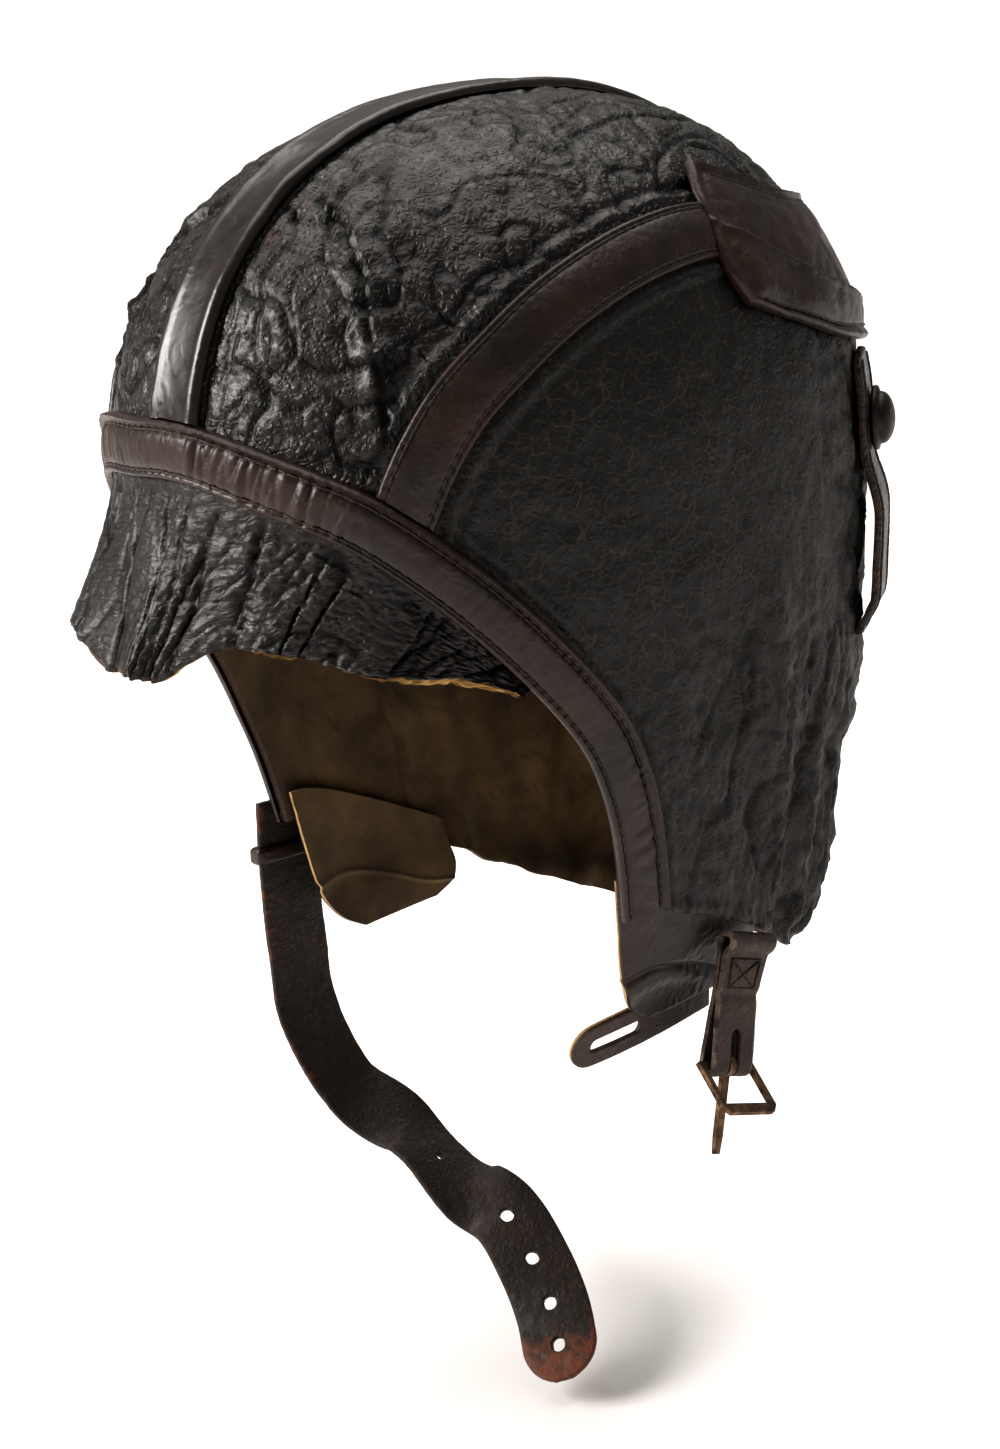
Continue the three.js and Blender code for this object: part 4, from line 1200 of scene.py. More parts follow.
    def scratches(
        self, add: Adder, place: bpy.types.NodeSocket, patches: bpy.types.NodeSocket
    ) -> bpy.types.NodeSocket:
        """Adds a net of long thin cracks that have rubbed pale in places.

        Args:
            add: Adds a node to the material.
            place: Bent coordinates.
            patches: Noise that breaks the lines.

        Returns:
            Share of the worn colour.
        """
        cells = add(
            "ShaderNodeTexVoronoi",
            {"feature": "DISTANCE_TO_EDGE", "Scale": 1 / SCRATCH_SIZE},
            {"Vector": place},
        )
        line = add(
            "ShaderNodeMapRange",
            {"From Max": 0.06, "To Min": self.pale, "To Max": 0.0},
            {"Value": cells.outputs["Distance"]},
        )
        broken = add("ShaderNodeMapRange", {"From Min": 0.42, "From Max": 0.66}, {"Value": patches})
        share = add(
            "ShaderNodeMath", {"operation": "MULTIPLY"}, {0: line.outputs[0], 1: broken.outputs[0]}
        )
        return share.outputs[0]

    def colour(
        self,
        add: Adder,
        tone: bpy.types.NodeSocket,
        cracks_and_crease_shade: tuple[bpy.types.NodeSocket, bpy.types.NodeSocket],
        shares: Sequence[bpy.types.NodeSocket],
    ) -> bpy.types.NodeSocket:
        """Adds the colour: the tone, then dark cracks, then painted shade and dirt along the
        creases, then worn places.

        Args:
            add: Adds a node to the material.
            tone: Share of the main colour.
            cracks_and_crease_shade: The net of cracks, and how much painted shade and dirt lies
                along the creases.
            shares: Shares of the worn colour, one after another.

        Returns:
            The colour.
        """
        deep, body, worn = (linear(colour) for colour in (self.deep, self.body, self.worn))
        net, crease = cracks_and_crease_shade
        cracked = add("ShaderNodeMapRange", {"To Min": self.tint, "To Max": 0.0}, {"Value": net})
        mix = {"data_type": "RGBA"}
        colour = add("ShaderNodeMix", {**mix, 6: deep, 7: body}, {0: tone})
        layers = [(cracked.outputs[0], deep), (crease, deep)]
        layers += [(share, worn) for share in shares]
        for share, over in layers:
            colour = add("ShaderNodeMix", {**mix, 7: over}, {0: share, 6: colour.outputs[2]})
        return colour.outputs[2]


@dataclass(frozen=True)
class Metal:
    """Finish of old hardware.

    Attributes:
        name: Plain name of the metal.
        bright: Colour of the bare metal.
        stain: Colour of its rust or blacking.
        bare: Share of the surface that is bare.
        patch: Width of a stain in millimetres.
        roughness: Roughness of the bare metal and of the stain.
    """

    name: str
    bright: int
    stain: int
    bare: float
    patch: float
    roughness: tuple[float, float]

    def make(self) -> bpy.types.Material:
        """Makes the material.

        Returns:
            A material with bare metal between its stains.
        """
        material, shader, place = new_material(self.name)
        tree = material.node_tree
        add = partial(add_node, tree)
        stain = add(
            "ShaderNodeTexNoise",
            {"Scale": 1 / self.patch, "Detail": 6.0, "Roughness": 0.65},
            {"Vector": place},
        )
        share = add(
            "ShaderNodeMapRange",
            {"From Min": 0.42, "From Max": 0.42 + 0.3 * (1 - self.bare) + 0.05},
            {"Value": stain.outputs[0]},
        )
        colour = add(
            "ShaderNodeMix",
            {"data_type": "RGBA", 6: linear(self.stain), 7: linear(self.bright)},
            {0: share.outputs[0]},
        )
        metallic = add(
            "ShaderNodeMapRange", {"To Min": 0.35, "To Max": 1.0}, {"Value": share.outputs[0]}
        )
        bare, stained = self.roughness
        rough = add(
            "ShaderNodeMapRange", {"To Min": stained, "To Max": bare}, {"Value": share.outputs[0]}
        )
        bump = add(
            "ShaderNodeBump",
            {"Strength": 0.6, "Distance": 0.12 * MM},
            {"Height": stain.outputs[0]},
        )
        tree.links.new(colour.outputs[2], shader.inputs["Base Color"])
        tree.links.new(metallic.outputs[0], shader.inputs["Metallic"])
        tree.links.new(rough.outputs[0], shader.inputs["Roughness"])
        tree.links.new(bump.outputs[0], shader.inputs["Normal"])
        return material


# Horsehide, chrome tanned and painted near black: the paint has crackled and shines on the puffs
CRACKED_HIDE = Hide(
    "cracked_horsehide", 0x0C0907, 0x2C221C, 0x5A3A2A, (0.32, 0.56), 0.22, 0.8, 2.1, 0.3
)
# The same hide where it hangs and bends: its cracks lie level, one over another
HANGING_HIDE = Hide(
    "hanging_horsehide", 0x0C0907, 0x2A201B, 0x5E4330, (0.38, 0.62), 0.15, 0.8, 2.2, 0.26,
    stretch=(0.42, 0.42, 1.25),
)
# The same hide where no hand rubs it: duller, with a finer net of cracks. Its grey worn colour
# marks rubbed hems and pale cracks, and on the crumple tops of the side panels it is partly a
# painted highlight
DULL_HIDE = Hide(
    "dull_horsehide", 0x080605, 0x15110D, 0x6E665A, (0.42, 0.7), 0.05, 0.8, 2.2, 0.12, 0.15,
    tint=0.4, pale=0.34,
)
# The same hide pressed flat and waxed, as on the strip over the crown
SMOOTH_HIDE = Hide(
    "smooth_horsehide", 0x1A1410, 0x30261F, 0x4E382C, (0.25, 0.42), 0.35, 0.6, 5.0, 0.06, 0.15,
    tint=0.3,
)
# Goatskin, vegetable tanned and polished: smooth, red brown, with a fine tight grain
BAND_HIDE = Hide(
    "polished_goatskin", 0x1A100C, 0x38241B, 0x523628, (0.36, 0.56), 0.16, 0.5, 3.4, 0.08, 0.15,
    tint=0.25,
)
# Belt cowhide, rubbed and greyed by use: dull, with a dry grain
TAB_HIDE = Hide(
    "greyed_cowhide", 0x352B26, 0x554841, 0x85776B, (0.5, 0.7), 0.0, 0.6, 3.0, 0.12, 0.4, tint=0.4
)
# Chamois, oil tanned: yellow, matt and finely napped
CHAMOIS = Hide(
    "chamois", 0x8A6A3A, 0xBE9A5C, 0x6A5230, (0.85, 0.95), 0.0, 0.5, 6.0, 0.08, 0.3, 0.3, 0.1
)
# Flesh side of the hides: dirty buff, matt, with a loose nap
FLESH = Hide(
    "flesh_side", 0x4A3A28, 0x74603F, 0x3C2C1E, (0.85, 0.95), 0.0, 0.7, 9.0, 0.12, 0.3, 0.2, 0.06
)
# Cut edge of the hides: raw tan fibre between two dark skins
RAW_EDGE = Hide("raw_edge", 0x2A1D16, 0x4A3626, 0x7A5838, (0.75, 0.9), 0.0, 0.35, 1.6, 0.1, 0.3)
# Split cowhide, flesh side out, dark with sweat and rubbed red at its end
STRAP_SPLIT = Hide(
    "strap_split", 0x1C130D, 0x3E2D21, 0x6A3A22, (0.62, 0.85), 0.05, 0.45, 2.0, 0.14, 0.3, 0.1
)
# Linen thread, waxed black brown, with lighter fibres where it rubs
THREAD = Hide("waxed_thread", 0x1E1612, 0x453629, 0x7A6656, (0.45, 0.65), 0.1, 0.25, 0.6, 0.08, 0.2)
# Brass wire, stamped, with rust and brown tarnish over most of it
RUSTY_BRASS = Metal("rusty_brass", 0x8C745A, 0x4A382C, 0.25, 3.0, (0.4, 0.75))
# Brass snap, japanned black: the paint has worn to dull metal on its crown
BLACK_SNAP = Metal("japanned_brass", 0x4A4440, 0x161413, 0.1, 4.0, (0.3, 0.45))

FORM = HeadForm()
# Leather of the panels, the face band and the strips, and the gap between pieces
PANEL = 2.2
BAND = 1.9
STRIP = 1.5
GAP = 0.3
BAND_LIFT = PANEL + GAP
# Widths of the bands, and half the gap between panels that are sewn under them
FACE_WIDTH = 13.5
ARCH_WIDTH = 14.5
STRIP_WIDTH = 17.0
HALF_SEAM = 0.4
# Columns of faces across a band, and how far stitches lie over the leather's own surface
BAND_COLUMNS = 30
THREAD_LIFT = 0.05
# Lengths that turn shares of the face line into millimetres of the bands' and the flap's noise
FACE_LENGTH = 560.0


def mirrored(table: Table) -> Table:
    """Turns a table of azimuths over to the other side.

    Args:
        table: Table with an azimuth column.

    Returns:
        The same rows with the azimuths' signs changed.
    """
    names = table.columns.split()
    column = names.index("azimuth")
    flipped = [tuple(-x if k == column else x for k, x in enumerate(row)) for row in table.rows]
    return Table(table.columns, tuple(flipped))


LEFT_FACE = line_through(FACE_LINE)
WHOLE_FACE = line_through(
    Table(FACE_LINE.columns, (*mirrored(FACE_LINE).rows[:0:-1], *FACE_LINE.rows))
)
SEAM = line_through(CROWN_SEAM)


def crest_line() -> Line:
    """Returns the line from the forehead over the crown to the back seam."""
    angle = np.radians(np.linspace(FACE_LINE.rows[0][1], 180 - SEAM_AT_BACK[1], 6))
    return Line(np.stack([0 * angle, -np.cos(angle), np.sin(angle)], axis=-1))


CREST = crest_line()
LINE_SHARES = np.linspace(0, 1, 121)
FACE_ROUTE = FORM.wall(unit(WHOLE_FACE.at(LINE_SHARES)))
SEAM_ROUTE = FORM.wall(unit(SEAM.at(LINE_SHARES)))


def seam_start() -> float:
    """Finds where the crown seam meets the face line.

    Returns:
        Share of the left face line.
    """
    shares = np.linspace(0, 1, 401)
    gaps = np.linalg.norm(LEFT_FACE.at(shares) - SEAM.at(0.0), axis=-1)
    return float(shares[np.argmin(gaps)])


SEAM_START = seam_start()


def back_seam(offset: float) -> Shares:
    """Finds an edge beside the seam behind the crown.

    Args:
        offset: How far it is raised, in millimetres.

    Returns:
        Function from shares of the seam to directions.
    """
    start, end = unit(SEAM.at(1.0)), direction_of(*SEAM_AT_BACK)

    def along(t: np.ndarray) -> np.ndarray:
        """Finds the edge.

        Args:
            t: Shares of the seam.

        Returns:
            Unit directions.
        """
        place = FORM.wall(unit(start + (end - start) * t[:, None]))
        place[:, 0] = np.maximum(place[:, 0], HALF_SEAM)
        place[:, 2] += offset
        return unit(place)

    return along


def on_hand(directions: np.ndarray, hand: Hand) -> np.ndarray:
    """Returns directions of the left side on the given side."""
    return directions * np.array([hand.value, 1, 1])


@dataclass
class SubAssembly:
    """Pieces that are made and dressed together."""

    name: str = "pieces"
    made: list[bpy.types.Object] = field(default_factory=list, init=False)

    def build(self) -> None:
        """Makes the meshes."""
        raise NotImplementedError

    def dress(self, finishes: dict[str, bpy.types.Material]) -> None:
        """Gives the pieces their finishes.

        Args:
            finishes: Every finish by its name.
        """
        raise NotImplementedError

    def keep(self, piece: bpy.types.Object, slot: str, *nodes: str) -> bpy.types.Object:
        """Hangs a piece on the helmet.

        Args:
            piece: The new piece.
            slot: Material slot of the record, not used.
            nodes: CAD nodes that it stands for.

        Returns:
            The piece.
        """
        if nodes:
            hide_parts(*nodes)
        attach(piece, "helmet")
        self.made.append(piece)
        return piece

    def cover(self, finishes: dict[str, bpy.types.Material], *names: str) -> None:
        """Gives leather pieces their grain, flesh and edge finishes.

        Args:
            finishes: Every finish by its name.
            names: Finish of the grain side, flesh side and edge.
        """
        for piece in self.made:
            if not piece.data.materials:
                for name in names:
                    piece.data.materials.append(finishes[name])


def leather_sheet(
    name: str,
    directions: np.ndarray,
    lower: np.ndarray | float,
    upper: np.ndarray,
    fine: np.ndarray,
    wear: np.ndarray | None = None,
    thin: float = 0.35,
    crease: np.ndarray | None = None,
) -> bpy.types.Object:
    """Makes a sheet of leather over the wall.

    Args:
        name: Name of the object.
        directions: Grid of directions.
        lower: Height of the flesh side.
        upper: Height of the grain side without its fine relief.
        fine: Height of the fine relief on the grain side.
        wear: Rubbing from 0 to 1, or None for none.
        thin: Share of the fine relief that the flesh side follows.
        crease: Painted shade and dirt along the folds, from 0 to 1, or None for none.

    Returns:
        The new object.
    """
    shape = directions.shape[:2]
    under = FORM.leather(directions, np.broadcast_to(lower, shape) + thin * np.minimum(fine, 0))
    over = FORM.leather(directions, upper + fine)
    values = {
        key: np.zeros(shape) if part is None else repeated(np.clip(part, 0, 1), fine)
        for key, part in (("wear", wear), ("crease", crease))
    }
    return sheet_object(name, FORM.place(under), FORM.place(over), values)


@dataclass
class Crown(SubAssembly):
    """The two halves of the crown, crumpled, with the sewn dart at the front.

    Attributes:
        dart: Azimuth and elevation of places along the dart.
        holes: Azimuth and elevation of the holes that its old stitches tore.
    """

    name: str = "crown"
    rows: int = 214
    columns: int = 122
    puff: float = 0.75
    dart_groove: float = 1.1
    dart: tuple[tuple[float, float], ...] = (
        (15, 46.5), (22, 43), (27.5, 35.5), (29.5, 28), (31.5, 20.5), (32, 14), (29, 8.5),
    )
    holes: tuple[tuple[float, float], ...] = ((8.5, 45.5), (11.5, 44), (15, 47.5))

    def directions(self) -> np.ndarray:
        """Finds the left half.

        Returns:
            Grid of directions.
        """
        rear = back_seam(HALF_SEAM)

        def crest(t: np.ndarray) -> np.ndarray:
            """Finds the edge beside the middle of the crown.

            Args:
                t: Shares of the edge.

            Returns:
                Unit directions.
            """
            first = FACE_LINE.rows[0][1] + 0.3
            angle = np.radians(first + (180 - SEAM_AT_BACK[1] - first) * t)
            place = FORM.wall(np.stack([0 * angle, -np.cos(angle), np.sin(angle)], axis=-1))
            place[:, 0] = HALF_SEAM
            return unit(place)

        def seam(t: np.ndarray) -> np.ndarray:
            """Returns the edge under the arch band."""
            return FORM.beside(SEAM, t, HALF_SEAM)

        def brow(t: np.ndarray) -> np.ndarray:
            """Returns the edge under the face band."""
            return FORM.beside(LEFT_FACE, t * SEAM_START, HALF_SEAM)

        def back(t: np.ndarray) -> np.ndarray:
            """Returns the edge under the rear patch."""
            return rear(1 - t)

        u, v = np.linspace(0, 1, self.rows), np.linspace(0, 1, self.columns)
        return spread(crest, seam, brow, back, u, v)

    def fine_relief(self, directions: np.ndarray) -> tuple[np.ndarray, np.ndarray]:
        """Finds the crumpling, the dart with its torn holes, and the ridges beside seams.

        Args:
            directions: Grid of directions.

        Returns:
            The relief's height, and the painted shade and dirt of its creases, dart and torn holes.
        """
        place = FORM.wall(directions)
        side = np.sign(np.median(place[..., 0]))
        to_arch = distance_to_route(place, SEAM_ROUTE * [side, 1, 1]) - ARCH_WIDTH / 2
        to_strip = np.abs(place[..., 0]) - STRIP_WIDTH / 2
        free = np.minimum(to_arch, to_strip)
        to_face = distance_to_route(place, FACE_ROUTE) - FACE_WIDTH / 2
        open_leather = smooth_step(-1.5, 4, np.minimum(free, to_face))
        forward = 1 - smooth_step(-60, 40, place[..., 1])
        noise = Noise(11)
        bent = bent_by(noise, place, 4, 40, 18)
        pads = sum(
            height * noise.puffs(bent, size) for size, height in ((17, 0.75), (8, 0.42), (3.8, 0.3))
        )
        seamward = bent @ np.array([[1, 0, 0.5 * side], [0.25 * side, 0.45, 0], [0, -0.3, 1]])
        lines = noise.creases(seamward + 90, 19, 0.035) + 0.8 * noise.creases(bent - 70, 13, 0.05)
        lines = lines + 0.5 * noise.creases(bent[..., [1, 2, 0]] * [1, 1, 0.5] + 20, 9, 0.07)
        height = self.puff * pads * (0.8 + 0.3 * forward) - 0.75 * lines
        height = height * open_leather
        dart = np.array(self.dart, float)
        route = FORM.wall(direction_of(dart[:, 0] * side, dart[:, 1]))
        to_dart = distance_to_route(place, route)
        rows = place[..., 2] + 6 * noise.at(place, 30)
        pucker = np.sin(rows * 2 * np.pi / 6.5) * hump(to_dart - 3, 4.5) * 0.28
        height = height - self.dart_groove * hump(to_dart, 1.0) + pucker
        height = height - 1.1 * hump(to_strip - 0.4, 1.1) * (to_face > 0)
        ridge = 0.8 * hump(free - 2.6, 1.3) - 0.5 * hump(free - 5.4, 1.2)
        beside_arch = smooth_step(2, 8, to_strip)
        # Painted shade and dirt: the colour darkens along the dart, the long creases and the torn
        # holes.
        dark = 0.95 * hump(to_dart, 1.5) + 0.8 * np.minimum(lines, 1) * open_leather
        for azimuth, elevation in self.holes:
            hole = FORM.wall(direction_of(azimuth * side, elevation))
            torn = hump(np.linalg.norm(place - hole, axis=-1), 1.1)
            height, dark = height - 1.0 * torn, dark + torn
        return height + ridge * beside_arch * smooth_step(-1, 3, to_face), dark

    def build(self) -> None:
        """Makes both halves."""
        grid = self.directions()
        for hand in Hand:
            directions = on_hand(grid, hand)
            fine, dark = self.fine_relief(directions)
            upper = np.full(fine.shape, PANEL)
            place = FORM.wall(directions)
            wear = 0.4 * hump(np.linalg.norm(place - FORM.wall(direction_of(14, 43)), axis=-1), 11)
            word = hand.name.lower()
            piece = leather_sheet(
                f"crown_hide_{word}", directions, 0.0, upper, fine, wear, crease=dark
            )
            self.keep(piece, "leather_dark", f"crown_panel_{word}")

    def dress(self, finishes: dict[str, bpy.types.Material]) -> None:
        """Gives the halves their cracked hide."""
        self.cover(finishes, "cracked_horsehide", "flesh_side", "raw_edge")


@dataclass
class SidePanels(SubAssembly):
    """Ear, cheek and nape of each side in one panel, gathered at the nape.

    Attributes:
        drop: Length from the seam to the hem, in millimetres.
        seam_share: Share of the upper edge that lies under the arch band.
        panel_short: How far the panel stays short of the face band's edge at the cheek.
        flap_end: Share of the face line where the brow flap ends.
        flap_fade: Share of the face line over which the edge moves there.
    """

    name: str = "side panels"
    rows: int = 198
    columns: int = 120
    drop: float = 190.0
    seam_share: float = 20 / 32
    panel_short: float = 1.0
    flap_end: float = 0.65
    flap_fade: float = 0.06

    def directions(self) -> np.ndarray:
        """Finds the left panel.

        Returns:
            Grid of directions.
        """
        back = back_seam(-HALF_SEAM)

        def top(t: np.ndarray) -> np.ndarray:
            """Finds the edge under the arch band and the patch.

            Args:
                t: Shares of the edge.

            Returns:
                Unit directions.
            """
            first = FORM.beside(SEAM, np.minimum(t / self.seam_share, 1), -HALF_SEAM)
            rest = back(np.maximum((t - self.seam_share) / (1 - self.seam_share), 0))
            return np.where(t[:, None] < self.seam_share, first, rest)

        def face(t: np.ndarray) -> np.ndarray:
            """Finds the edge under the face band.

            Args:
                t: Shares of the edge.

            Returns:
                Unit directions.
            """
            along = SEAM_START + (1 - SEAM_START) * t
            free = smooth_step(self.flap_end, self.flap_end + self.flap_fade, along)
            edge = HALF_SEAM + (self.panel_short - FACE_WIDTH / 2 - HALF_SEAM) * free
            return FORM.beside(LEFT_FACE, along, edge)

        def hem(t: np.ndarray) -> np.ndarray:
            """Returns the lower edge."""
            first = FACE_LINE.rows[-1][0] - 5.5
            return FORM.hem(first + (179.8 - first) * t)

        def nape(t: np.ndarray) -> np.ndarray:
            """Finds the edge at the middle of the back.

            Args:
                t: Shares of the edge.

            Returns:
                Unit directions.
            """
            start, end = top(np.array([1.0]))[0], hem(np.array([1.0]))[0]
            place = FORM.wall(unit(start + (end - start) * t[:, None]))
            place[:, 0] = HALF_SEAM
            return unit(place)

        u = np.linspace(0, 1, self.rows)
        return spread(top, hem, face, nape, u, stations(self.columns, self.drop))

    def fine_relief(self, directions: np.ndarray) -> tuple[np.ndarray, np.ndarray]:
        """Finds the crumpling, the ridges beside seams and the puckers of the nape.

        Args:
            directions: Grid of directions.

        Returns:
            The relief's height, and the painted shade and dirt of its long creases low at the back.
        """
        place = FORM.wall(directions)
        side = np.sign(np.median(place[..., 0]))
        to_seam = distance_to_route(place, SEAM_ROUTE * [side, 1, 1]) - ARCH_WIDTH / 2
        to_face = distance_to_route(place, FACE_ROUTE) - FACE_WIDTH / 2
        free = smooth_step(-1.5, 3, np.minimum(to_seam, to_face))
        noise = Noise(23)
        bent = bent_by(noise, place, 7, 50, 26)
        crumple = sum(
            height * noise.puffs(bent, size)
            for size, height in ((26, 0.4), (10, 0.25), (4.2, 0.32))
        )
        long = noise.creases(bent * [1, 1, 0.5] + 30, 20, 0.04)
        long = long + 0.8 * noise.creases(bent * [1, 0.5, 1] - 60, 13, 0.05)
        azimuth, elevation = np.abs(azimuth_of(directions)), elevation_of(directions)
        low = smooth_step(58, 98, azimuth) * (1 - smooth_step(-38, -12, elevation))
        low = np.maximum(low, smooth_step(112, 128, azimuth))
        height = (crumple * (0.8 + 1.2 * low) - (0.12 + 0.45 * low) * long) * free
        nape = smooth_step(96, 116, azimuth) * (1 - smooth_step(-44, -22, elevation))
        rows = azimuth * 1.15 + 9 * noise.at(place, 22)
        puckers = np.abs(np.sin(rows * np.pi / 7.5)) ** 0.7 - 0.6
        height = height + nape * (0.75 * puckers + 0.5 * noise.puffs(bent, 6))
        ridge = 0.75 * hump(to_seam - 2.6, 1.3) - 0.45 * hump(to_seam - 5.2, 1.2)
        ridge = ridge * smooth_step(-1, 3, to_face)
        behind = -0.45 * hump(to_face - 0.6, 1.2) + 0.5 * hump(to_face - 3.2, 1.5)
        height = height + ridge + behind * smooth_step(-1, 3, to_seam)
        # The second value is painted shade and dirt along the long creases low at the back.
        return height, 0.6 * np.minimum(long, 1) * free * low

    def build(self) -> None:
        """Makes both panels."""
        grid = self.directions()
        from_hem = (1 - stations(self.columns, self.drop)) * self.drop
        edge = 1 - 0.5 * hump(np.minimum(1, from_hem / 0.6), 0.7)
        fold = 0.7 * hump(from_hem - 1.8, 1.6) - 0.5 * hump(from_hem - 4.6, 1.0)
        upper = np.tile(PANEL * edge + fold, (self.rows, 1))
        for hand in Hand:
            directions = on_hand(grid, hand)
            fine, dark = self.fine_relief(directions)
            # Worn colour at the hem, and on the crumple tops, where it is partly real rubbing and
            # partly a painted highlight.
            wear = 0.5 * hump(from_hem, 3) + 0.45 * np.clip(fine - 0.5, 0, 1)
            word = hand.name.lower()
            piece = leather_sheet(
                f"side_hide_{word}", directions, 0.0, upper, fine, wear, crease=dark
            )
            self.keep(piece, "leather_dark", f"side_panel_{word}")

    def dress(self, finishes: dict[str, bpy.types.Material]) -> None:
        """Gives the panels their dull hide."""
        self.cover(finishes, "dull_horsehide", "flesh_side", "raw_edge")


# Height across the face band from its lower edge: stitched grooves and a piped upper edge
FACE_PROFILE = Table(
    "across share",
    (
        (0, 0.35), (0.03, 0.85), (0.07, 1.0), (0.13, 0.78), (0.2, 0.98), (0.5, 1.15), (0.74, 1.0),
        (0.81, 0.74), (0.87, 1.0), (0.92, 1.5), (0.96, 1.35), (1, 0.5),
    ),
)
ARCH_PROFILE = Table(
    "across share",
    (
        (0, 0.35), (0.03, 0.85), (0.07, 1.0), (0.12, 0.82), (0.19, 1.0), (0.5, 1.3), (0.81, 1.0),
        (0.88, 0.82), (0.93, 1.0), (0.97, 0.85), (1, 0.35),
    ),
)
STRIP_PROFILE = Table(
    "across share",
    (
        (0, 0.3), (0.03, 1.0), (0.09, 1.4), (0.25, 1.15), (0.5, 1.0), (0.75, 1.15), (0.91, 1.4),
        (0.97, 1.0), (1, 0.3),
    ),
)


def rail_end(line: Line, offsets: np.ndarray, end: float, is_clear: Shares) -> np.ndarray:
    """Finds where rails beside a line meet a piece laid across them.

    Args:
        line: Line that the rails follow.
        offsets: Distance of each rail from the line.
        end: Share of the line, 0 or 1, towards which the rails run.
        is_clear: Says of directions whether they are clear of the piece.

    Returns:
        The last clear share of each rail.
    """
    clear, blocked = np.full(offsets.shape, 0.5), np.full(offsets.shape, float(end))
    for _ in range(26):
        middle = (clear + blocked) / 2
        good = is_clear(FORM.beside(line, middle, offsets))
        clear, blocked = np.where(good, middle, clear), np.where(good, blocked, middle)
    return clear


def clear_of_face_band(directions: np.ndarray) -> np.ndarray:
    """Returns whether directions are clear of the face band."""
    return distance_to_route(FORM.wall(directions), FACE_ROUTE) > FACE_WIDTH / 2 + GAP


def clear_of_patch(directions: np.ndarray) -> np.ndarray:
    """Tells what the rear patch leaves free.

    Args:
        directions: Unit directions.

    Returns:
        Whether each is clear of the patch.
    """
    elevation, azimuth = elevation_of(directions), np.abs(azimuth_of(directions))
    margin = math.degrees(2 * GAP / FORM.half_width)
    front = PATCH_FRONT.read(elevation, "azimuth")
    top = PATCH_TOP.read(azimuth, "elevation")
    over = (directions[..., 1] < 0) | (elevation > top + margin)
    return np.where(np.abs(directions[..., 0]) > 0.2, azimuth < front - margin, over)


@dataclass(frozen=True)
class Band:
    """One band over a line.

    Attributes:
        name: Name of the object.
        line: Line of directions under the band's middle.
        width: Width in millimetres.
        profile: Height across the band, in shares of its thickness.
        thick: Thickness of its leather.
        rows: Stations along it.
        ripple: Gives the fine relief from shares along, distances across and places.
        between: Whether it runs only from the face band to the rear patch.
        stitches: Shares across the band where it is stitched.
    """

    name: str
    line: Line
    width: float
    profile: Table
    thick: float
    rows: int
    ripple: Ripple
    between: bool = True
    stitches: tuple[float, ...] = ()

    def ends(self, offsets: np.ndarray) -> tuple[np.ndarray, np.ndarray]:
        """Finds where the band starts and ends.

        Args:
            offsets: Distances from the line.

        Returns:
            First and last share of the line at each distance.
        """
        if not self.between:
            return np.zeros(offsets.shape), np.ones(offsets.shape)
        first = rail_end(self.line, offsets, 0, clear_of_face_band)
        return first, rail_end(self.line, offsets, 1, clear_of_patch)

    def build(self, hand: Hand) -> tuple[bpy.types.Object, list[tuple[np.ndarray, np.ndarray]]]:
        """Makes the band and the routes of its stitches.

        Args:
            hand: Side of the wearer.

        Returns:
            The band and its stitch routes with normals.
        """
        across = stations(BAND_COLUMNS, self.width, (0.2, 0.5))
        offsets = (across - 0.5) * self.width
        first, last = self.ends(offsets)
        shares = first + (last - first) * np.linspace(0, 1, self.rows)[:, None]
        grid = on_hand(FORM.beside(self.line, shares, repeated(offsets, shares)), hand)
        place = FORM.wall(grid)
        ripple = self.ripple(shares, offsets, place)
        upper = repeated(BAND_LIFT + self.thick * self.profile.read(across, "share"), shares)
        wear = 0.2 * hump(np.minimum(across, 1 - across) * self.width - 1.0, 0.8)
        steps = np.linalg.norm(np.diff(place[:, len(across) // 2], axis=0), axis=1)
        run = np.concatenate([[0], np.cumsum(steps)])[:, None]
        dents = 0.5 + 0.5 * np.cos(2 * np.pi * run / Stitches.pitch)
        for share in self.stitches:
            ripple = ripple - 0.3 * dents**2 * hump((across - share) * self.width, 0.6)
        piece = leather_sheet(self.name, grid, BAND_LIFT, upper, ripple, wear, 0.0)
        routes = []
        for share in self.stitches:
            at = slice(None), int(np.argmin(np.abs(across - share)))
            route = FORM.leather(grid[at], (upper + ripple)[at] + THREAD_LIFT)
            routes.append((route, FORM.normal(FORM.settled(grid[at]))))
        return piece, routes


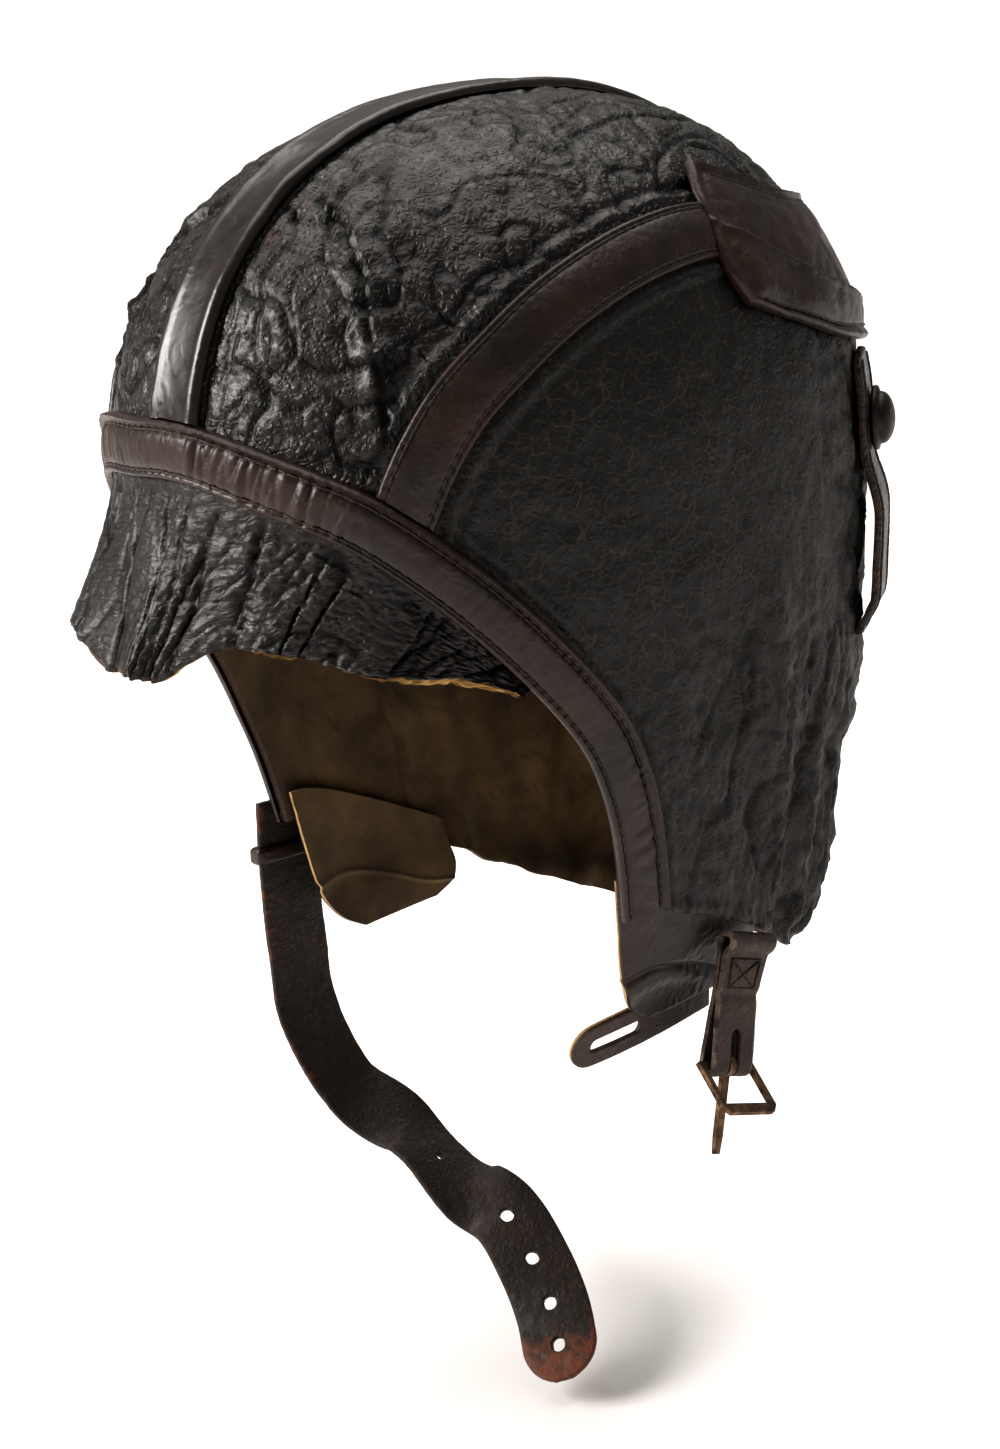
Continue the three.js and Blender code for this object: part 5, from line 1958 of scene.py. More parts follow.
@dataclass
class Bands(SubAssembly):
    """Face band, arch bands and centre strip, with their stitching."""

    name: str = "bands"
    face_rows: int = 740
    arch_rows: int = 330
    strip_rows: int = 200
    face_stitches: tuple[float, float] = (0.13, 0.81)
    arch_stitches: tuple[float, float] = (0.12, 0.88)

    def face_ripple(self, shares: np.ndarray, offsets: np.ndarray, place: np.ndarray) -> np.ndarray:
        """Puckers the face band, most over the brow and at the cheeks.

        Args:
            shares: Shares of the face line.
            offsets: Distances across the band.
            place: Points of the wall.

        Returns:
            Heights.
        """
        noise = Noise(31)
        length = FACE_LENGTH * shares
        flat = np.stack([length, repeated(0.18 * offsets, length), 0 * length], axis=-1)
        azimuth = azimuth_of(place)
        over_brow = smooth_step(2, 5, azimuth) * (1 - smooth_step(22, 32, azimuth))
        on_right = smooth_step(6, 12, -azimuth) * (1 - smooth_step(24, 34, -azimuth))
        cheek = smooth_step(62, 65.5, np.abs(azimuth))
        strength = 0.12 + over_brow + 0.3 * on_right + 0.55 * cheek
        middle = 1 - (np.abs(offsets) / (FACE_WIDTH / 2)) ** 4
        ripple = noise.puffs(flat, 6.0) + 0.35 * noise.at(flat + 60, 3)
        return strength * middle * ripple + 0.25 * noise.at(place, 11)

    def arch_ripple(
        self, _shares: np.ndarray, _offsets: np.ndarray, place: np.ndarray
    ) -> np.ndarray:
        """Returns the slight unevenness of a flat band."""
        noise = Noise(37)
        return 0.3 * noise.at(place, 12) + 0.16 * noise.at(place, 4.5)

    def strip_ripple(
        self, _shares: np.ndarray, _offsets: np.ndarray, place: np.ndarray
    ) -> np.ndarray:
        """Makes the centre strip lumpy where it bends over the crown.

        Args:
            _shares: Shares of the crest, not used.
            _offsets: Distances across the strip, not used.
            place: Points of the wall.

        Returns:
            Heights.
        """
        noise = Noise(41)
        bend = hump(elevation_of(place) - 52, 9) * (place[..., 1] < 0)
        lumps = 1.1 * noise.at(place, 9) * bend
        return lumps + 0.3 * noise.at(place, 16) + 0.12 * noise.at(place, 4)

    def build(self) -> None:
        """Makes the bands and their stitching."""
        face = Band(
            "face_band_hide", WHOLE_FACE, FACE_WIDTH, FACE_PROFILE, BAND, self.face_rows,
            self.face_ripple, False, self.face_stitches,
        )
        band, routes = face.build(Hand.LEFT)
        self.keep(band, "leather_brown", "face_band")
        self.keep(Stitches().build("face_band_stitching", routes), "leather_brown")
        for hand in Hand:
            word = hand.name.lower()
            arch = Band(
                f"arch_band_hide_{word}", SEAM, ARCH_WIDTH, ARCH_PROFILE, STRIP, self.arch_rows,
                self.arch_ripple, stitches=self.arch_stitches,
            )
            band, routes = arch.build(hand)
            self.keep(band, "leather_brown", f"arch_band_{word}")
            self.keep(Stitches().build(f"arch_stitching_{word}", routes), "leather_brown")
        strip = Band(
            "centre_strip_hide", CREST, STRIP_WIDTH, STRIP_PROFILE, STRIP, self.strip_rows,
            self.strip_ripple,
        )
        self.keep(strip.build(Hand.LEFT)[0], "leather_brown", "centre_strip")

    def dress(self, finishes: dict[str, bpy.types.Material]) -> None:
        """Gives the bands goatskin, the strip smooth hide and the stitching thread.

        Args:
            finishes: Every finish by its name.
        """
        for piece in self.made:
            if "stitching" in piece.name:
                piece.data.materials.append(finishes["waxed_thread"])
            if "strip" in piece.name:
                for _ in Face:
                    piece.data.materials.append(finishes["smooth_horsehide"])
        self.cover(finishes, "polished_goatskin", "polished_goatskin", "polished_goatskin")


@dataclass
class RearPatch(SubAssembly):
    """Thick patch at the back of the crown, with a second layer stitched over its lower part.

    Attributes:
        length: Length from side to side in millimetres.
        drop: Height in millimetres.
        stitched: Distance of each row of stitches from the upper edge.
    """

    name: str = "rear patch"
    lift: float = BAND_LIFT + 0.2
    leather: float = 2.4
    length: float = 190.0
    drop: float = 46.0
    stitched: tuple[float, float] = (3.6, 42.4)

    def edge(self, table: Table) -> Line:
        """Finds the patch's upper or lower edge.

        Args:
            table: The edge's left half, to the middle of the back.

        Returns:
            The whole edge.
        """
        azimuth, elevation = table.column("azimuth"), table.column("elevation")
        left, right = direction_of(azimuth, elevation), direction_of(-azimuth, elevation)
        return Line(np.concatenate([left, right[-2::-1]]))

    def build(self) -> None:
        """Makes the patch and its stitching."""
        top, bottom = self.edge(PATCH_TOP), self.edge(PATCH_BOTTOM)
        front = direction_of(PATCH_FRONT.column("azimuth"), PATCH_FRONT.column("elevation"))[::-1]
        left, right = Line(front), Line(front * [-1, 1, 1])
        u, v = stations(190, self.length), stations(56, self.drop)
        grid = spread(top.at, bottom.at, left.at, right.at, u, v)
        place = FORM.wall(grid)
        noise = Noise(53)
        lean = np.minimum(u, 1 - u)[:, None]
        line = 0.42 + 1.15 * lean
        middle = lean < 0.42
        below = smooth_step(-0.012, 0.012, v - line) * middle
        margin = np.minimum(np.minimum(v, 1 - v) * self.drop, lean * self.length)
        crown = 0.5 * smooth_step(2, 12, margin) + 0.7 * below * smooth_step(2, 9, margin)
        bead = 0.7 * hump(margin - 1.3, 1.0) - 0.35 * hump(margin - 3.4, 0.9)
        margins = rounded(u, v, (self.length, self.drop), 1.2)
        upper = self.lift + self.leather * (0.62 + 0.18 * below) * margins
        fine = 1.1 * noise.at(place, 17) + 0.3 * noise.puffs(place, 7) + crown + bead
        fine = fine + 0.6 * hump((v - line) * self.drop - 1.2, 0.9) * middle
        wear = 0.5 * hump(margin, 2)
        piece = leather_sheet("rear_patch_hide", grid, self.lift, upper, fine, wear, 0)
        self.keep(piece, "leather_brown", "rear_patch")
        rows = []
        for distance in self.stitched:
            at = slice(8, -8), int(np.argmin(np.abs(v * self.drop - distance)))
            route = FORM.leather(grid[at], (upper + fine)[at] + THREAD_LIFT)
            rows.append((route, FORM.normal(FORM.settled(grid[at]))))
        self.keep(Stitches().build("patch_stitching", rows), "leather_brown")

    def dress(self, finishes: dict[str, bpy.types.Material]) -> None:
        """Gives the patch goatskin and its stitching thread."""
        self.made[1].data.materials.append(finishes["waxed_thread"])
        self.cover(finishes, "polished_goatskin", "polished_goatskin", "polished_goatskin")


@dataclass
class BrowFlap(SubAssembly):
    """Soft short peak that hangs from the face band, and its chamois lining.

    Attributes:
        reach: How far it goes to each side, as a share of half the face line.
        hidden: Share of its height that lies under the face band.
        grain_drop: Height in millimetres that its wrinkles are laid out for.
        worn_drop: Height in millimetres that the wear of its edge is laid out for.
        wave: Height of the waves of its free edge, in millimetres.
        bends: Steps in which it leans away from the head.
    """

    name: str = "brow flap"
    rows: int = 300
    reach: float = 0.63
    hidden: float = 0.2
    leather: float = 1.6
    lining: float = 1.0
    grain_drop: float = 44.0
    worn_drop: float = 40.0
    wave: float = 1.4
    waves: int = 9
    bends: int = 8

    def surface(self, along: np.ndarray, share: np.ndarray, extra: float) -> tuple[np.ndarray, ...]:
        """Finds the middle sheet of the flap.

        Args:
            along: Shares of the face line from -1 to 1, as a column.
            share: Shares from the band's middle to the free edge, as a row.
            extra: 1 for the lining, which hangs lower, and 0 for the flap.

        Returns:
            Points, outward directions and the azimuth and free share of each.
        """
        place = repeated((along + 1) / 2, share)
        azimuth = azimuth_of(WHOLE_FACE.at(place))
        tuck = 2 * HALF_SEAM - FACE_WIDTH / 2
        hidden = repeated(np.minimum(share / self.hidden, 1), place)
        offset = -HALF_SEAM + (tuck + HALF_SEAM) * hidden
        hinge = FORM.beside(WHOLE_FACE, place, offset)
        point = FORM.leather(hinge, 0.0)
        settled = FORM.settled(hinge)
        outward = FORM.normal(settled)
        further = FORM.wall(FORM.settled(FORM.beside(WHOLE_FACE, place, tuck - 1)))
        last = FORM.wall(FORM.settled(FORM.beside(WHOLE_FACE, place, tuck)))
        down = unit(further - last)
        free = repeated(np.clip((share - self.hidden) / (1 - self.hidden), 0, 1), place)
        noise = Noise(61)
        flat = np.stack([place * FACE_LENGTH, 0 * place, 0 * place], axis=-1)
        ragged = 0.9 * noise.at(flat, 7) + 0.5 * noise.at(flat + 20, 2.6)
        length = BROW.read(azimuth, "length") + BROW.read(azimuth, "lining") * extra + ragged
        step = free * length / self.bends
        lean = np.radians(BROW.read(azimuth, "lean"))
        for index in range(self.bends):
            bend = lean * smooth_step(-0.6, 0.9, free * (index + 0.5) / self.bends)
            point = point + down * (step * np.cos(bend))[..., None]
            point = point + outward * (step * np.sin(bend))[..., None]
        sway = self.wave * free**2 * np.cos(self.waves * np.pi * along)
        return point + outward * sway[..., None], outward, azimuth, free

    def folds(
        self, along: np.ndarray, azimuth: np.ndarray, free: np.ndarray
    ) -> tuple[np.ndarray, np.ndarray]:
        """Finds the flap's wrinkles and creases.

        Args:
            along: Shares of the face line from -1 to 1, as a column.
            azimuth: Azimuth of each point, in degrees.
            free: Share of the free height at each point.

        Returns:
            Height of the wrinkles, and the painted shade and dirt along the creases.
        """
        noise = Noise(67)
        length = repeated(FACE_LENGTH / 2 * along, free)
        flat = np.stack([length, free * self.grain_drop, 0 * length], axis=-1)
        bent = bent_by(noise, flat, 2.5, 40, 15)
        level = 0.6 * noise.puffs(bent * [0.3, 1, 1], 3.6)
        level = level + 0.4 * noise.puffs(bent * [0.45, 1, 1] + 31, 2.4)
        level = level * (0.4 + 0.6 * smooth_step(-12, 4, azimuth))
        soft = 0.8 * noise.at(bent * [1, 0.6, 1] + 77, 18)
        upright = noise.creases(bent * [1, 0.18, 1] + 5, 17, 0.04)
        sheared = bent * [1, 0.4, 1] + [0.5, 0, 0] * bent[..., [1, 1, 1]]
        slanted = noise.creases(sheared - 50, 15, 0.045)
        open_leather = smooth_step(0.0, 0.15, free)
        height = (level + soft - 1.0 * upright - 0.6 * slanted) * open_leather
        # The second value darkens the creases' colour: painted shade and dirt.
        return height, (0.8 * upright + 0.5 * slanted) * open_leather

    def build(self) -> None:
        """Makes the flap and its lining."""
        along = np.linspace(-self.reach, self.reach, self.rows)[:, None]
        near = np.array([0.975, 0.988, 1.0])
        share = np.concatenate([np.linspace(0, 0.96, 62), near])[None, :]
        point, outward, azimuth, free = self.surface(along, share, 0)
        fine, dark = self.folds(along, azimuth, free)
        edge = 1 - 0.5 * smooth_step(0.97, 1.0, share)
        top = (PANEL - self.leather * (1 - edge) + fine)[..., None]
        under = point + outward * (PANEL - self.leather + 0.85 * fine)[..., None]
        front = smooth_step(-48, -10, azimuth) * (1 - smooth_step(4, 16, azimuth))
        from_edge = (1 - free) * self.worn_drop
        wear = np.clip(0.32 * hump(from_edge, 2.0) + 0.3 * front * free**2, 0, 1)
        piece = sheet_object(
            "brow_hide",
            FORM.place(under),
            FORM.place(point + outward * top),
            {"wear": wear, "crease": np.clip(dark, 0, 1)},
        )
        self.keep(piece, "leather_dark", "brow_flap")
        share = np.concatenate([np.linspace(0, 0.96, 26), near])[None, :]
        point, outward, azimuth, free = self.surface(along, share, 1)
        fine = 0.85 * self.folds(along, azimuth, free)[0]
        high = PANEL - self.leather - 2 * GAP
        under = point + outward * (high - self.lining + fine)[..., None]
        over = point + outward * (high + fine)[..., None]
        values = {"wear": 0.5 * hump((1 - free) * self.worn_drop, 2)}
        piece = sheet_object("brow_chamois", FORM.place(under), FORM.place(over), values)
        self.keep(piece, "chamois", "brow_lining")

    def dress(self, finishes: dict[str, bpy.types.Material]) -> None:
        """Gives the flap its hide and the lining chamois.

        Args:
            finishes: Every finish by its name.
        """
        for _ in Face:
            self.made[1].data.materials.append(finishes["chamois"])
        self.cover(finishes, "hanging_horsehide", "flesh_side", "raw_edge")


@dataclass
class GoggleStraps(SubAssembly):
    """Short straps that hold the goggle band at the back, with their snaps.

    Attributes:
        azimuth: Azimuth of both straps.
        elevations: Elevations along a strap's middle.
        stand_off: How far the lower half bows away from the panel.
        snap_outline: Shares of the snap's radius and height from its foot to its dome.
    """

    name: str = "goggle straps"
    azimuth: float = 138.0
    elevations: tuple[float, ...] = (11, -2, -17, -32)
    length: float = 76.0
    width: float = 18.0
    leather: float = 1.8
    stand_off: float = 3.4
    snap_radius: float = 8.5
    snap_height: float = 6.0
    snap_outline: tuple[tuple[float, float], ...] = (
        (0.86, 0), (0.97, 0.06), (1, 0.16), (0.96, 0.28), (0.82, 0.34), (0.8, 0.4)
    )

    def build_snap(self, hand: Hand) -> bpy.types.Object:
        """Makes one snap with its domed cap.

        Args:
            hand: Side of the wearer.

        Returns:
            The snap.
        """
        seat = direction_of(self.azimuth * hand.value, 0.0)
        axis = FORM.normal(seat)
        foot = FORM.wall(seat) + axis * (BAND_LIFT + self.leather + GAP)
        radius, height = self.snap_radius, self.snap_height
        profile = [(0.2, 0.0)]
        profile += [(radius * across, height * up) for across, up in self.snap_outline]
        for turn in np.linspace(0.1, 1.52, 12):
            up = height * (0.4 + 0.58 * math.sin(turn))
            profile.append((radius * 0.8 * math.cos(turn), up))
        return turned_object(f"snap_{hand.name.lower()}", profile, foot, axis)

    def build(self) -> None:
        """Makes the straps, their stitching and the snaps."""
        angles = np.array(self.elevations, float)
        line = Line(direction_of(np.full(angles.shape, self.azimuth), angles))
        u, v = stations(90, self.length), stations(22, self.width)
        from_top = np.minimum(1, u * self.length / 6)
        corner = np.sqrt(np.clip(1 - (1 - from_top) ** 2, 0.12, 1))
        offsets = (v[None, :] - 0.5) * self.width * corner[:, None]
        bow = self.stand_off * smooth_step(0.35, 0.6, u) * (1 - smooth_step(0.88, 1, u))
        noise = Noise(71)
        for hand in Hand:
            word = hand.name.lower()
            grid = on_hand(FORM.beside(line, repeated(u[:, None], offsets), offsets), hand)
            fine = 0.35 * noise.at(FORM.wall(grid), 9)
            lower = repeated(BAND_LIFT + bow[:, None], fine)
            upper = lower + self.leather * rounded(u, v, (self.length, self.width), 0.7)
            wear = 0.4 * hump(fine, 1)
            piece = leather_sheet(f"goggle_strap_hide_{word}", grid, lower, upper, fine, wear, 1)
            self.keep(piece, "leather_dark", f"goggle_strap_{word}")
            rows = []
            for column in (4, len(v) - 5):
                route = FORM.leather(grid[4:-4, column], (upper + fine)[4:-4, column] + THREAD_LIFT)
                rows.append((route, FORM.normal(FORM.settled(grid[4:-4, column]))))
            self.keep(Stitches().build(f"goggle_stitching_{word}", rows), "leather_dark")
            self.keep(self.build_snap(hand), "black_metal", f"goggle_snap_{word}")

    def dress(self, finishes: dict[str, bpy.types.Material]) -> None:
        """Gives the straps hide, the stitching thread and the snaps their metal.

        Args:
            finishes: Every finish by its name.
        """
        for piece in self.made:
            if piece.name.startswith("snap"):
                piece.data.materials.append(finishes["japanned_brass"])
            if "stitching" in piece.name:
                piece.data.materials.append(finishes["waxed_thread"])
        self.cover(finishes, "cracked_horsehide", "flesh_side", "raw_edge")


@dataclass
class ChinFlaps(SubAssembly):
    """Flaps that hang inside the hem under each cheek, folded across their lower part.

    Attributes:
        front: Place of the front edge behind the widest plane, in millimetres.
        back: Place of the rear edge.
        bottom: How far down the flaps reach.
        tuck: How far they go up inside the hem.
        lift: Height of their outer face over the wall.
        hem_share: Share of the nape's drop at which the hem over a flap is looked up.
        fold: Share of a flap's height where it is folded, from front to back.
    """

    name: str = "chin flaps"
    front: float = -34.0
    back: float = 20.0
    bottom: float = 140.0
    tuck: float = 7.0
    lift: float = -1.3
    leather: float = 1.6
    width: float = 54.0
    height: float = 44.0
    hem_share: float = 0.78
    fold: Table = Table("u v", ((0, 0.66), (0.25, 0.62), (0.5, 0.68), (0.8, 0.82), (1, 0.86)))

    def build(self) -> None:
        """Makes both flaps."""
        u, v = stations(64, self.width), stations(60, self.height)
        edge = [CHIN_FLAP_EDGE.read(v, name)[None, :] for name in ("front", "back")]
        fore, rear = self.front + edge[0], self.back + edge[1]
        back = fore + (rear - fore) * u[:, None]
        hem = repeated(FORM.nape_drop * self.hem_share, back)
        azimuth = azimuth_of(FORM.in_side_view(back, hem))
        top = FORM.nape_drop * HEM.read(azimuth, "drop") - self.tuck
        grid = FORM.in_side_view(back, top + (self.bottom - top) * v[None, :])
        gap = (v[None, :] - self.fold.read(u, "v")[:, None]) * self.height
        from_side = np.minimum(u[:, None], 1 - u[:, None]) * self.width
        noise = Noise(83)
        for hand in Hand:
            word = hand.name.lower()
            directions = on_hand(grid, hand)
            place = FORM.wall(directions)
            fine = 0.35 * noise.at(place, 9) + 0.12 * noise.puffs(place, 3.5)
            fine = fine - 0.9 * hump(gap, 1.0) + 0.55 * hump(gap - 3.5, 3.0)
            body = self.leather * rounded(u, v, (self.width, self.height), 0.8)
            lower = np.full(body.shape, self.lift - self.leather)
            upper = lower + body
            wear = repeated(0.5 * hump(from_side, 1.5), fine)
            piece = leather_sheet(f"chin_flap_hide_{word}", directions, lower, upper, fine, wear, 1)
            self.keep(piece, "leather_brown", f"chin_flap_{word}")

    def dress(self, finishes: dict[str, bpy.types.Material]) -> None:
        """Gives the flaps goatskin with a plain back and a chamois edge."""
        self.cover(finishes, "polished_goatskin", "flesh_side", "chamois")


@dataclass
class SlottedTab(SubAssembly):
    """Small tab with a slot, which points forward from under the left chin flap."""

    name: str = "slotted tab"
    back: float = -42.5
    drop: float = 143.5
    slope: float = -3.0
    length: float = 50.0
    height: float = 11.5
    leather: float = 1.5
    slot_length: float = 17.0
    slot_height: float = 3.9
    outer: float = ChinFlaps.lift - ChinFlaps.leather - GAP

    def direction(self, along: np.ndarray, height: np.ndarray) -> np.ndarray:
        """Finds where places of the tab lie.

        Args:
            along: Distances from the tip in millimetres.
            height: Distances above the middle in millimetres.

        Returns:
            Unit directions.
        """
        slope = math.radians(self.slope)
        back = self.back + along * math.cos(slope) + height * math.sin(slope)
        drop = self.drop + along * math.sin(slope) - height * math.cos(slope)
        return FORM.in_side_view(back, drop)

    def build(self) -> None:
        """Makes the tab and cuts its slot."""
        half = self.height / 2
        u = np.concatenate([[0, 0.004, 0.012, 0.025, 0.045, 0.07, 0.1], np.linspace(0.14, 1, 60)])
        v = stations(22, self.height, (0.2, 0.5))
        fall = 1 - np.minimum(1, u * self.length / half)
        end = np.sqrt(np.maximum(0.02, 1 - fall**2))
        height = (v[None, :] - 0.5) * self.height * end[:, None]
        grid = self.direction(repeated(u[:, None] * self.length, v), height)
        body = self.leather * rounded(u, v, (self.length, self.height), 0.6)
        noise = Noise(89)
        fine = 0.2 * noise.at(FORM.wall(grid), 7)
        lower = np.full(body.shape, self.outer - self.leather)
        wear = 0.6 * hump(body, 1)
        piece = leather_sheet("slotted_tab_hide", grid, lower, lower + body, fine, wear, 1)
        middle = half + self.slot_length / 2
        places = self.direction(np.array([middle, middle - 4]), np.zeros(2))
        seat, before = FORM.leather(places, self.outer)
        way = unit(seat - before)
        out = FORM.normal(unit(seat))
        side = unit(np.cross(out, way))
        axes = np.stack([way, side, np.cross(way, side)])
        cut_with(piece, [cutter_object(oval(self.slot_length, self.slot_height), seat, axes, 8)])
        self.keep(piece, "chamois", "slotted_tab")

    def dress(self, finishes: dict[str, bpy.types.Material]) -> None:
        """Gives the tab greyed hide with a chamois back and edge."""
        self.cover(finishes, "greyed_cowhide", "chamois", "chamois")


# The buckle tab's front from its top down, as shares of its fold's radius and millimetres
# over the bar, and the places of its back over the bar
TAB_FRONT = Table(
    "share up",
    (
        (-0.5, 35.1), (0.1, 35.4), (0.72, 34.6), (0.95, 32.9), (0.72, 30.9), (0.3, 29.6),
        (0.2, 25), (0.14, 20.4), (-0.02, 18.8), (0.22, 16.5), (0.42, 12), (0.8, 5), (1, 0),
    ),
)
TAB_BACK = (0, 8, 20, 30, 33.4)


@dataclass
class Buckle(SubAssembly):
    """Leather tab folded round the bar of the buckle, with the wire frame and its prong.

    Attributes:
        lean: How far the tab's lower end swings to the front, in degrees.
        width: Width of its lower half.
        top_width: Width at the top.
        length: Height of the tab over the bar.
        bore: Radius of the fold's inside round the bar.
        bar_back: Place of the bar behind the widest plane.
        bar_drop: Place of the bar below the widest level.
        slot_width: Width of the slots for the frame and the prong.
        box: Half width of the box stitch at its top and bottom, with their places over the bar.
    """

    name: str = "buckle"
    lean: float = 21.0
    width: float = 15.5
    top_width: float = 18.0
    length: float = 37.0
    leather: float = 1.4
    bore: float = math.hypot(1.8, 1.4) / 2 + GAP
    bar_back: float = -3.0
    bar_drop: float = 156.0
    slot_width: float = 4.0
    box: tuple[tuple[float, float], ...] = ((5.6, 28.2), (5.2, 20.6))

    def frame(self) -> tuple[np.ndarray, np.ndarray]:
        """Finds where the tab hangs.

        Returns:
            The bar's middle in millimetres, and the tab's axes as rows.
        """
        direction = FORM.in_side_view(np.array([self.bar_back + 8]), np.array([122.0]))
        face = FORM.leather(direction, 0.0)[0]
        fold = self.bore + self.leather
        seat = np.array([face[0] + 2 * GAP + fold, self.bar_back, -self.bar_drop])
        turn = Matrix.Rotation(-math.radians(self.lean), 3, "X")
        return seat, np.array(turn.transposed())

    def outline(self, fold: float) -> Line:
        """Finds the tab's outer face from its top, round the bar and up the back.

        Args:
            fold: Outer radius of the fold.

        Returns:
            The line, with the face's distance from the bar's plane as its first axis.
        """
        front = [(share * fold, up) for share, up in TAB_FRONT.rows]
        round_bar = np.radians(np.linspace(20, 160, 9))
        bar = [(fold * math.cos(turn), -fold * math.sin(turn)) for turn in round_bar]
        back = [(-fold, up) for up in TAB_BACK]
        path = np.array([*front, *bar, *back])
        return Line(np.stack([path[:, 0], 0 * path[:, 0], path[:, 1]], axis=-1))

    def build_stitching(self, seat: np.ndarray, axes: np.ndarray, fold: float) -> None:
        """Makes the box stitch on the tab's front.

        Args:
            seat: The bar's middle.
            axes: The tab's axes as rows.
            fold: Outer radius of the fold.
        """
        (top, high), (bottom, low) = self.box
        corners = np.array([(-top, high), (top, high), (bottom, low), (-bottom, low)])
        sides = zip(corners, np.roll(corners, -1, axis=0))
        # The last row of the front turns back down over the top end
        up, share = TAB_FRONT.column("up")[:0:-1], TAB_FRONT.column("share")[:0:-1]
        t = np.linspace(0, 1, 12)[:, None]
        rows = []
        for start, end in [*sides, (corners[0], corners[2]), (corners[1], corners[3])]:
            way = start + (end - start) * t
            front = np.interp(way[:, 1], up, share * fold)
            route = np.stack([front + 0.1, way[:, 0], way[:, 1]], axis=-1) @ axes + seat
            rows.append((route, np.repeat(axes[:1], len(route), axis=0)))
        thread = Stitches(2.0, 1.5, 0.26).build("buckle_tab_stitching", rows)
        self.keep(thread, "leather_tab")

    def build(self) -> None:
        """Makes the tab with its slots, and its box stitch."""
        seat, axes = self.frame()
        fold = self.bore + self.leather
        line = self.outline(fold)
        u, v = np.linspace(0, 1, 150), stations(20, self.width, (0.2, 0.5))
        spine = line.at(u)
        ahead = unit(line.at(u + 0.004) - line.at(u - 0.004))
        inward = np.cross([0, 1, 0], ahead)[:, None, :]
        share = np.clip(spine[:, 2] / self.length, 0, 1)
        width = self.width + (self.top_width - self.width) * smooth_step(0.5, 1, share)
        across = (v[None, :] - 0.5) * width[:, None]
        beside, above = repeated(spine[:, :1], across), repeated(spine[:, 2:], across)
        flat = np.stack([beside, across, above], axis=-1)
        noise = Noise(97)
        fine = 0.22 * noise.at(flat, 6) + 0.1 * noise.puffs(flat, 2.6)
        round_edge = rounded(u, v, (90, self.width), 0.7)
        under = flat + inward * self.leather
        over = flat - inward * (fine - 0.5 * (1 - round_edge))[..., None]
        from_side = np.minimum(v, 1 - v)[None, :] * self.width
        wear = repeated(0.7 * hump(from_side, 1.2), fine)
        sheets = [FORM.place(points @ axes + seat) for points in (under, over)]
        piece = sheet_object("buckle_tab_hide", *sheets, {"wear": wear})
        hole_axes = np.array([[0, 0, 1.0], [0, 1.0, 0], [-1.0, 0, 0]]) @ axes
        cutters = []
        for ahead_of_bar, up, length, depth in ((1.9, -0.2, 20.5, 3.1), (0, -3.6, 10.2, 3 * fold)):
            hole = np.array([ahead_of_bar, 0, up]) @ axes + seat
            cutters.append(cutter_object(oval(length, self.slot_width), hole, hole_axes, depth))
        cut_with(piece, cutters)
        self.keep(piece, "leather_tab", "buckle_tab")
        self.build_stitching(seat, axes, fold)

    def dress(self, finishes: dict[str, bpy.types.Material]) -> None:
        """Gives the tab greyed hide and the CAD wire its rusty brass.

        Args:
            finishes: Every finish by its name.
        """
        self.made[1].data.materials.append(finishes["waxed_thread"])
        self.cover(finishes, "greyed_cowhide", "greyed_cowhide", "greyed_cowhide")
        for node in ("buckle_frame", "buckle_prong"):
            wire = bpy.data.objects[node]
            wire.data.materials.clear()
            wire.data.materials.append(finishes["rusty_brass"])
            bevel = wire.modifiers.new("worn_edges", "BEVEL")
            bevel.width = 0.45 * MM
            bevel.segments = 3
            bevel.limit_method = "ANGLE"
            bevel.angle_limit = math.radians(25)


